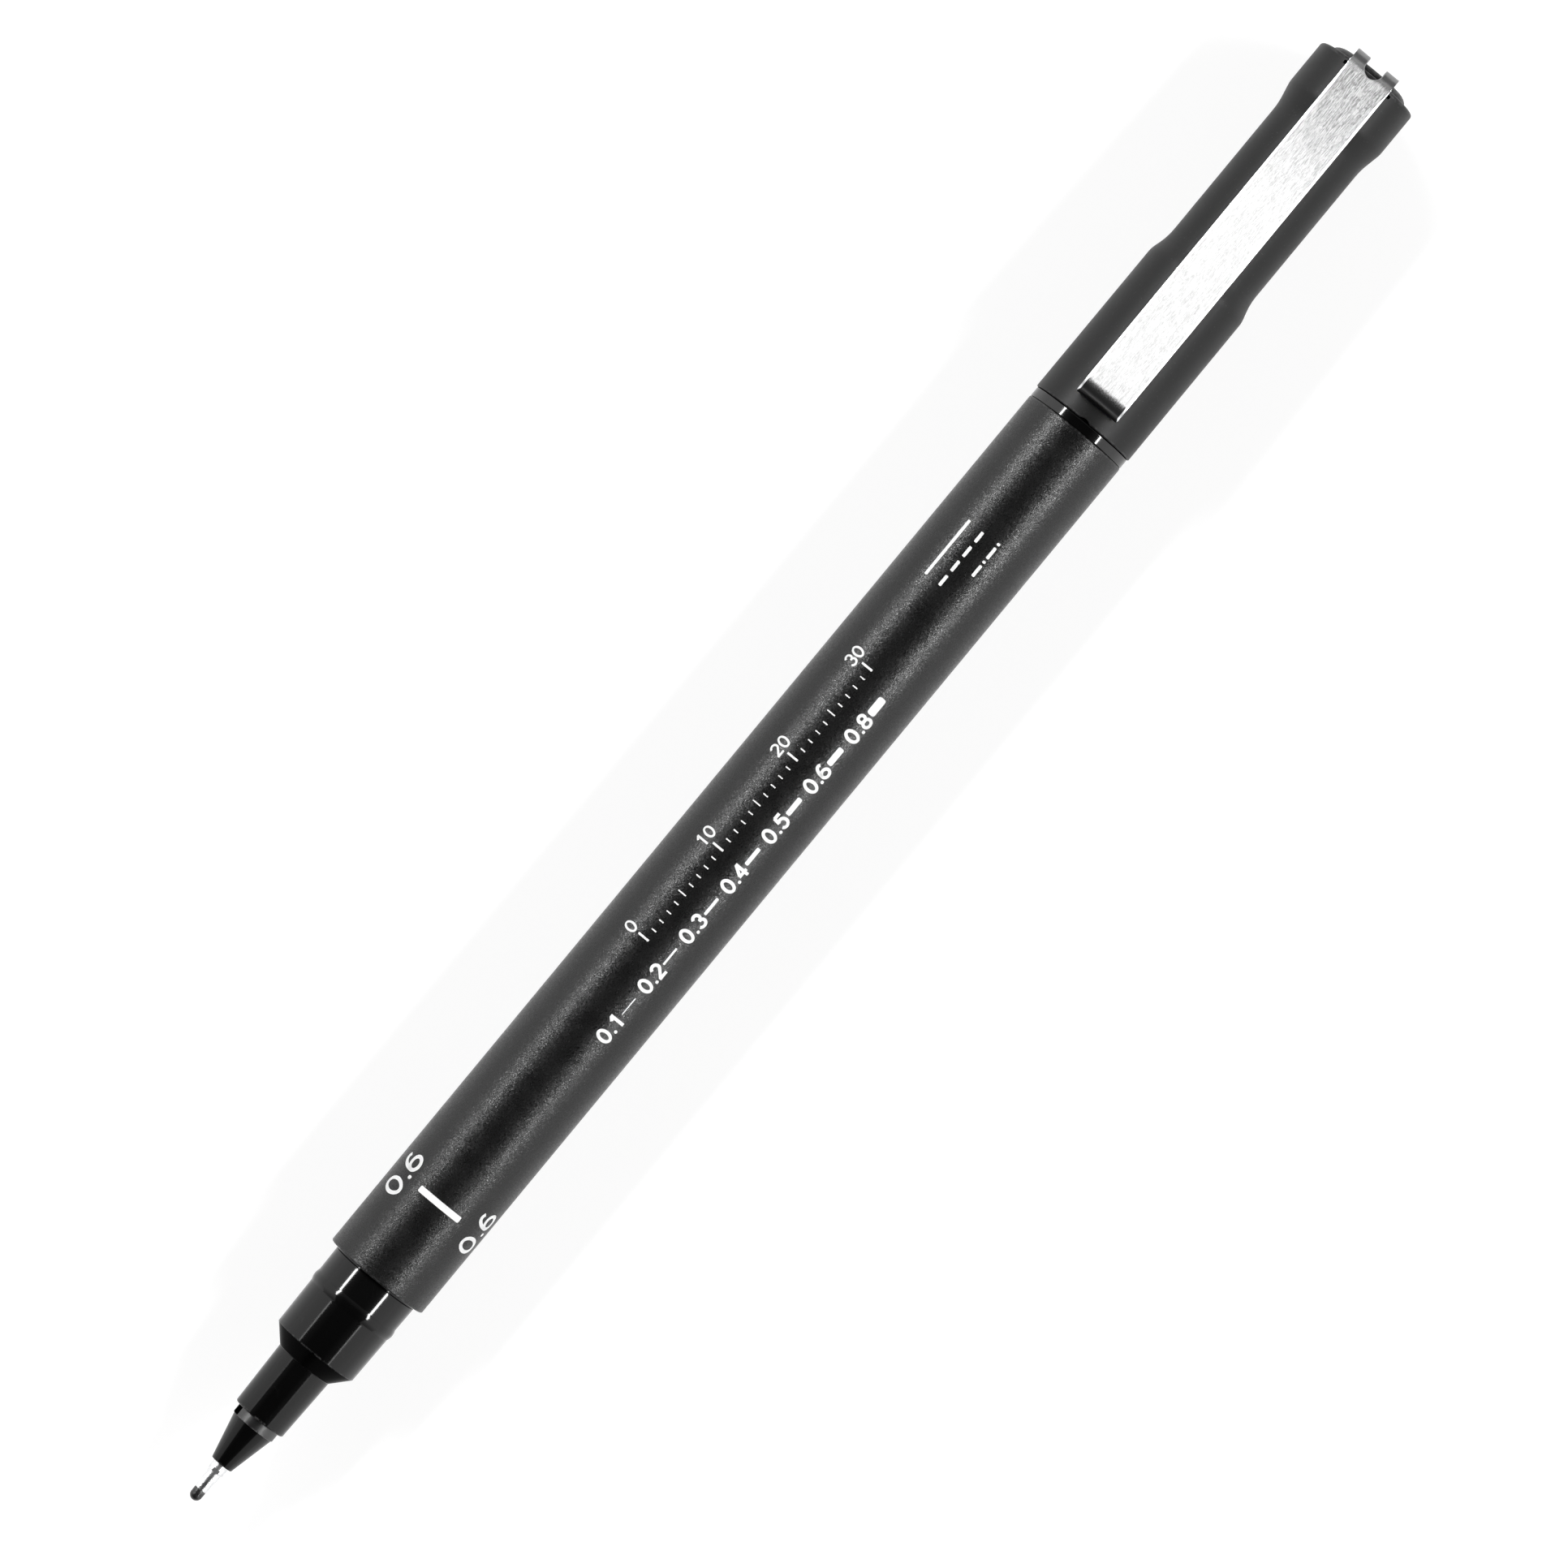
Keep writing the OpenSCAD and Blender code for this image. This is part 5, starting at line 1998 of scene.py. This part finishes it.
    def rule(self, start: float, stop: float, v: float, weight: float) -> None:
        """Adds a straight line along the barrel."""
        self.stroke(np.array([[start, v], [stop, v]]), weight, rounding=weight * self.RULE_CORNER)

    def tick(self, u: float, low: float, high: float, weight: float) -> None:
        """Adds a line round the barrel."""
        self.stroke(np.array([[u, low], [u, high]]), weight, rounding=weight * self.TICK_CORNER)

    def width_mark(self, edge: float) -> None:
        """Line width twice, with the bar between, near the barrel's front edge.

        Args:
            edge: station of the barrel's front edge.
        """
        for v in self.mark_rows:
            self.number("0.6", edge + self.mark_u, v, self.mark)
        self.tick(edge + self.bar_u, *self.bar_ends, self.bar_w)

    def scale_mark(self, edge: float) -> None:
        """Millimetre scale with its numbers, each centred on its tick.

        Args:
            edge: station of the barrel's front edge.
        """
        start, base = edge + self.scale_u, self.scale_v
        for mm in range(10 * self.scale_tens + 1):
            tall = self.scale_ticks[0 if mm % 10 == 0 else 1 if mm % 5 == 0 else 2]
            weight = self.tick_w if mm % 10 else self.scale.weight
            self.tick(start + mm, base, base + tall, weight)
        for tens in range(self.scale_tens + 1):
            text = str(tens * 10)
            left = self.SCALE_SHIFT[len(text) - 1]
            self.number(text, start + tens * 10 - left, base + self.numbers_v, self.scale)

    def width_row(self, edge: float) -> None:
        """Line widths in a row, each with a sample line of that width.

        Args:
            edge: station of the barrel's front edge.
        """
        for k, tenths in enumerate(self.row_tenths):
            u = edge + self.row_u + k * self.row_pitch
            start = self.number("0.%d" % tenths, u, self.row_v, self.row) + self.row_gap
            self.rule(start, start + self.row_rule, self.row_v, tenths / 10)

    def line_samples(self, seam: float) -> None:
        """Three line samples near the cap: solid, dashed and chain line.

        Args:
            seam: station of the barrel's rear edge.
        """
        start, weight = seam - self.samples_u, self.samples_w
        self.rule(start, start + self.solid_len, self.solid_v, weight)
        for k in range(self.dashes):
            dash = start + self.dash_pitch * k
            self.rule(dash, dash + self.dash_len, self.dashed_v, weight)
        for k in range(self.chain_links):
            link = start + self.chain_u + self.chain_pitch * k
            for low, high in self.chain_parts:
                self.rule(link + low, link + high, self.chain_v, weight)

    def build(self) -> None:
        """Lays out all marks and puts them on the barrel as one piece."""
        edge, tail = span("barrel")
        self.width_mark(edge)
        self.scale_mark(edge)
        self.width_row(edge)
        self.line_samples(tail)
        points = np.concatenate(self.points)
        outward = points * [0, 1, 1] / FIT.barrel_r
        vertex = np.array(self.faces).ravel()
        surface = Surface(points, self.faces, outward[vertex], np.zeros(len(points)))
        placed("printed_marks", mesh_from("printed_marks", surface), "pen",
               [WHITE_INK.made()])


@dataclass
class Studio:
    """Pale floor, soft light from both sides and the camera straight above.

    Angles are in degrees, the lens and the sensor in mm, and the floor in metres. The strips are
    the parts of the tent just beside its opening.
    """
    pen_turn: float = 50.4
    lens: float = 200.0
    sensor: float = 36.0
    margin: float = 0.02
    floor_half: float = 3.0
    floor_level: float = 0.34
    floor_roughness: float = 0.9
    floor_glow: float = 0.74
    dark_edge: float = 45.0
    dusk_start: float = 20.0
    dusk_level: float = 0.1
    strip_turn: float = 3.0
    side_level: float = 1.14
    nib_strip: float = 26.0
    tail_strip: float = 48.0
    far_strip: float = 8.0
    far_turn: float = 5.0
    tail_level: float = 0.26
    fill_level: float = 0.01
    soft: float = 0.012
    nib_rise: tuple[float, float] = (-0.13, -0.035)
    tail_rise: tuple[float, float] = (-0.045, 0.04)
    far_rise: tuple[float, float] = (0.1, 0.2)
    strip_fall: tuple[float, float] = (0.4, 0.6)
    tail_glow: tuple[float, float] = (0.1, 0.7)
    end_fall: tuple[float, float] = (0.2, 0.85)
    end_share: float = 0.1

    # Keeps the division by the length of (y, z) defined
    LEAST = 1e-4
    # Nearest and farthest that the camera sees, in metres
    CLIP = (0.01, 20.0)

    def floor(self) -> None:
        """Plain pale floor that keeps the pen's shadow and is white to camera and reflections."""
        half = self.floor_half
        mesh = bpy.data.meshes.new("floor")
        mesh.from_pydata([(-half, -half, 0), (half, -half, 0), (half, half, 0), (-half, half, 0)],
                         [], [(0, 1, 2, 3)])
        material, tree, shader = new_material("pale_floor")
        path = tree.add("LightPath").outputs
        seen = tree.math("MAXIMUM", path["Is Camera Ray"], path["Is Glossy Ray"])
        seen = tree.math("MAXIMUM", seen, path["Is Transmission Ray"])
        shader.inputs["Base Color"].default_value = grey(self.floor_level)
        shader.inputs["Roughness"].default_value = self.floor_roughness
        shader.inputs["Specular IOR Level"].default_value = 0.0
        shader.inputs["Emission Color"].default_value = grey(1.0)
        tree.feed(shader, "Emission Strength", tree.times(seen, self.floor_glow))
        floor = bpy.data.objects.new("floor", mesh)
        mesh.materials.append(material)
        bpy.context.scene.collection.objects.link(floor)
        floor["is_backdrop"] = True

    def light(self) -> None:
        """Light tent with a dark opening above.

        The angle from straight up is taken across the pen only: its sine is |y| over the length
        of (y, z). Past the opening's edge the tent is bright, and brightest in a strip along it.
        Along the pen the tent darkens toward both ends. The strip starts short of the nib's end
        and is stronger and wider toward the tail's. Ranges along the pen are parts of the unit
        vector that point to the tail, between which a level rises or falls.
        """
        world = bpy.data.worlds.new("tent")
        bpy.context.scene.world = world
        world.use_nodes = True
        tree = Tree(world.node_tree)
        way = tree.add("SeparateXYZ", {0: tree.add("TexCoord").outputs["Generated"]}).outputs
        along = way[0]
        radius = tree.math("SQRT", tree.total(*[tree.times(way[k], way[k]) for k in (1, 2)]))
        sine = tree.math("DIVIDE", tree.math("ABSOLUTE", way[1]),
                         tree.math("MAXIMUM", radius, self.LEAST))
        dusk_from, first, last, far = (
            math.sin(math.radians(angle)) for angle in
            (self.dusk_start, self.dark_edge, self.dark_edge + self.strip_turn,
             self.dark_edge + self.far_turn))
        side = tree.ramp(sine, first - self.soft, first + self.soft)
        drawn_in = tree.math("SUBTRACT", sine, tree.ramp(along, *self.far_rise, 0.0, far - last))
        strip = tree.times(side, tree.ramp(drawn_in, last - self.soft, last + self.soft, 1.0, 0.0))
        dusk = tree.ramp(sine, dusk_from, first, 0.0, self.dusk_level)
        more = self.tail_strip - self.nib_strip
        lengthwise = tree.total(tree.ramp(along, *self.nib_rise, 0.0, self.nib_strip),
                                tree.ramp(along, *self.tail_rise, 0.0, more),
                                tree.ramp(along, *self.far_rise, 0.0, self.far_strip))
        lengthwise = tree.times(lengthwise, tree.ramp(along, *self.strip_fall, 1.0, 0.0))
        dimmed = tree.ramp(tree.math("ABSOLUTE", along), *self.end_fall, 1.0, self.end_share)
        level = tree.times(tree.total(tree.times(side, self.side_level), dusk), dimmed)
        tail = tree.ramp(along, *self.tail_glow, 0.0, self.tail_level)
        level = tree.total(level, tree.times(strip, lengthwise), tree.total(tail, self.fill_level))
        seen = tree.add("LightPath").outputs["Is Camera Ray"]
        colour = tree.add("CombineColor", dict.fromkeys(range(3), level)).outputs[0]
        sky = world.node_tree.nodes["Background"]
        tree.feed(sky, "Color", tree.mix(seen, colour, grey(1.0)))

    def camera(self) -> None:
        """Camera straight above the pen, turned so that the pen lies as in the photograph."""
        low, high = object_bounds()
        centre = (low + high) / 2
        turn = math.radians(self.pen_turn)
        right = Vector((math.cos(turn), -math.sin(turn), 0))
        up = Vector((math.sin(turn), math.cos(turn), 0))
        corners = [Vector((x, y, 0)) - centre for x in (low.x, high.x) for y in (low.y, high.y)]
        half = max(abs(c.dot(axis)) for c in corners for axis in (right, up))
        data = bpy.data.cameras.new("camera")
        data.lens, data.sensor_width = self.lens, self.sensor
        data.clip_start, data.clip_end = self.CLIP
        camera = bpy.data.objects.new("camera", data)
        distance = 2 * half * (1 + 2 * self.margin) * self.lens / self.sensor
        camera.location = (centre.x, centre.y, high.z / 2 + distance)
        camera.rotation_euler = (0, 0, -turn)
        bpy.context.scene.collection.objects.link(camera)
        bpy.context.scene.camera = camera


def main() -> None:
    """Builds the studio and the pen in order."""
    logging.basicConfig(level=logging.INFO, format="%(message)s")
    bpy.context.scene.view_settings.view_transform = "Standard"
    studio = Studio()
    studio.floor()
    studio.light()
    studio.camera()
    writing_end = WritingEnd()
    writing_end.point()
    writing_end.sleeve()
    writing_end.holder()
    writing_end.front()
    middle = BarrelAndTail()
    middle.barrel()
    middle.tail()
    middle.inside()
    Print().build()
    cap = Cap()
    cap.shell()
    cap.crown()
    cap.inside()
    Clip().build()


if __name__ == "__main__":
    main()
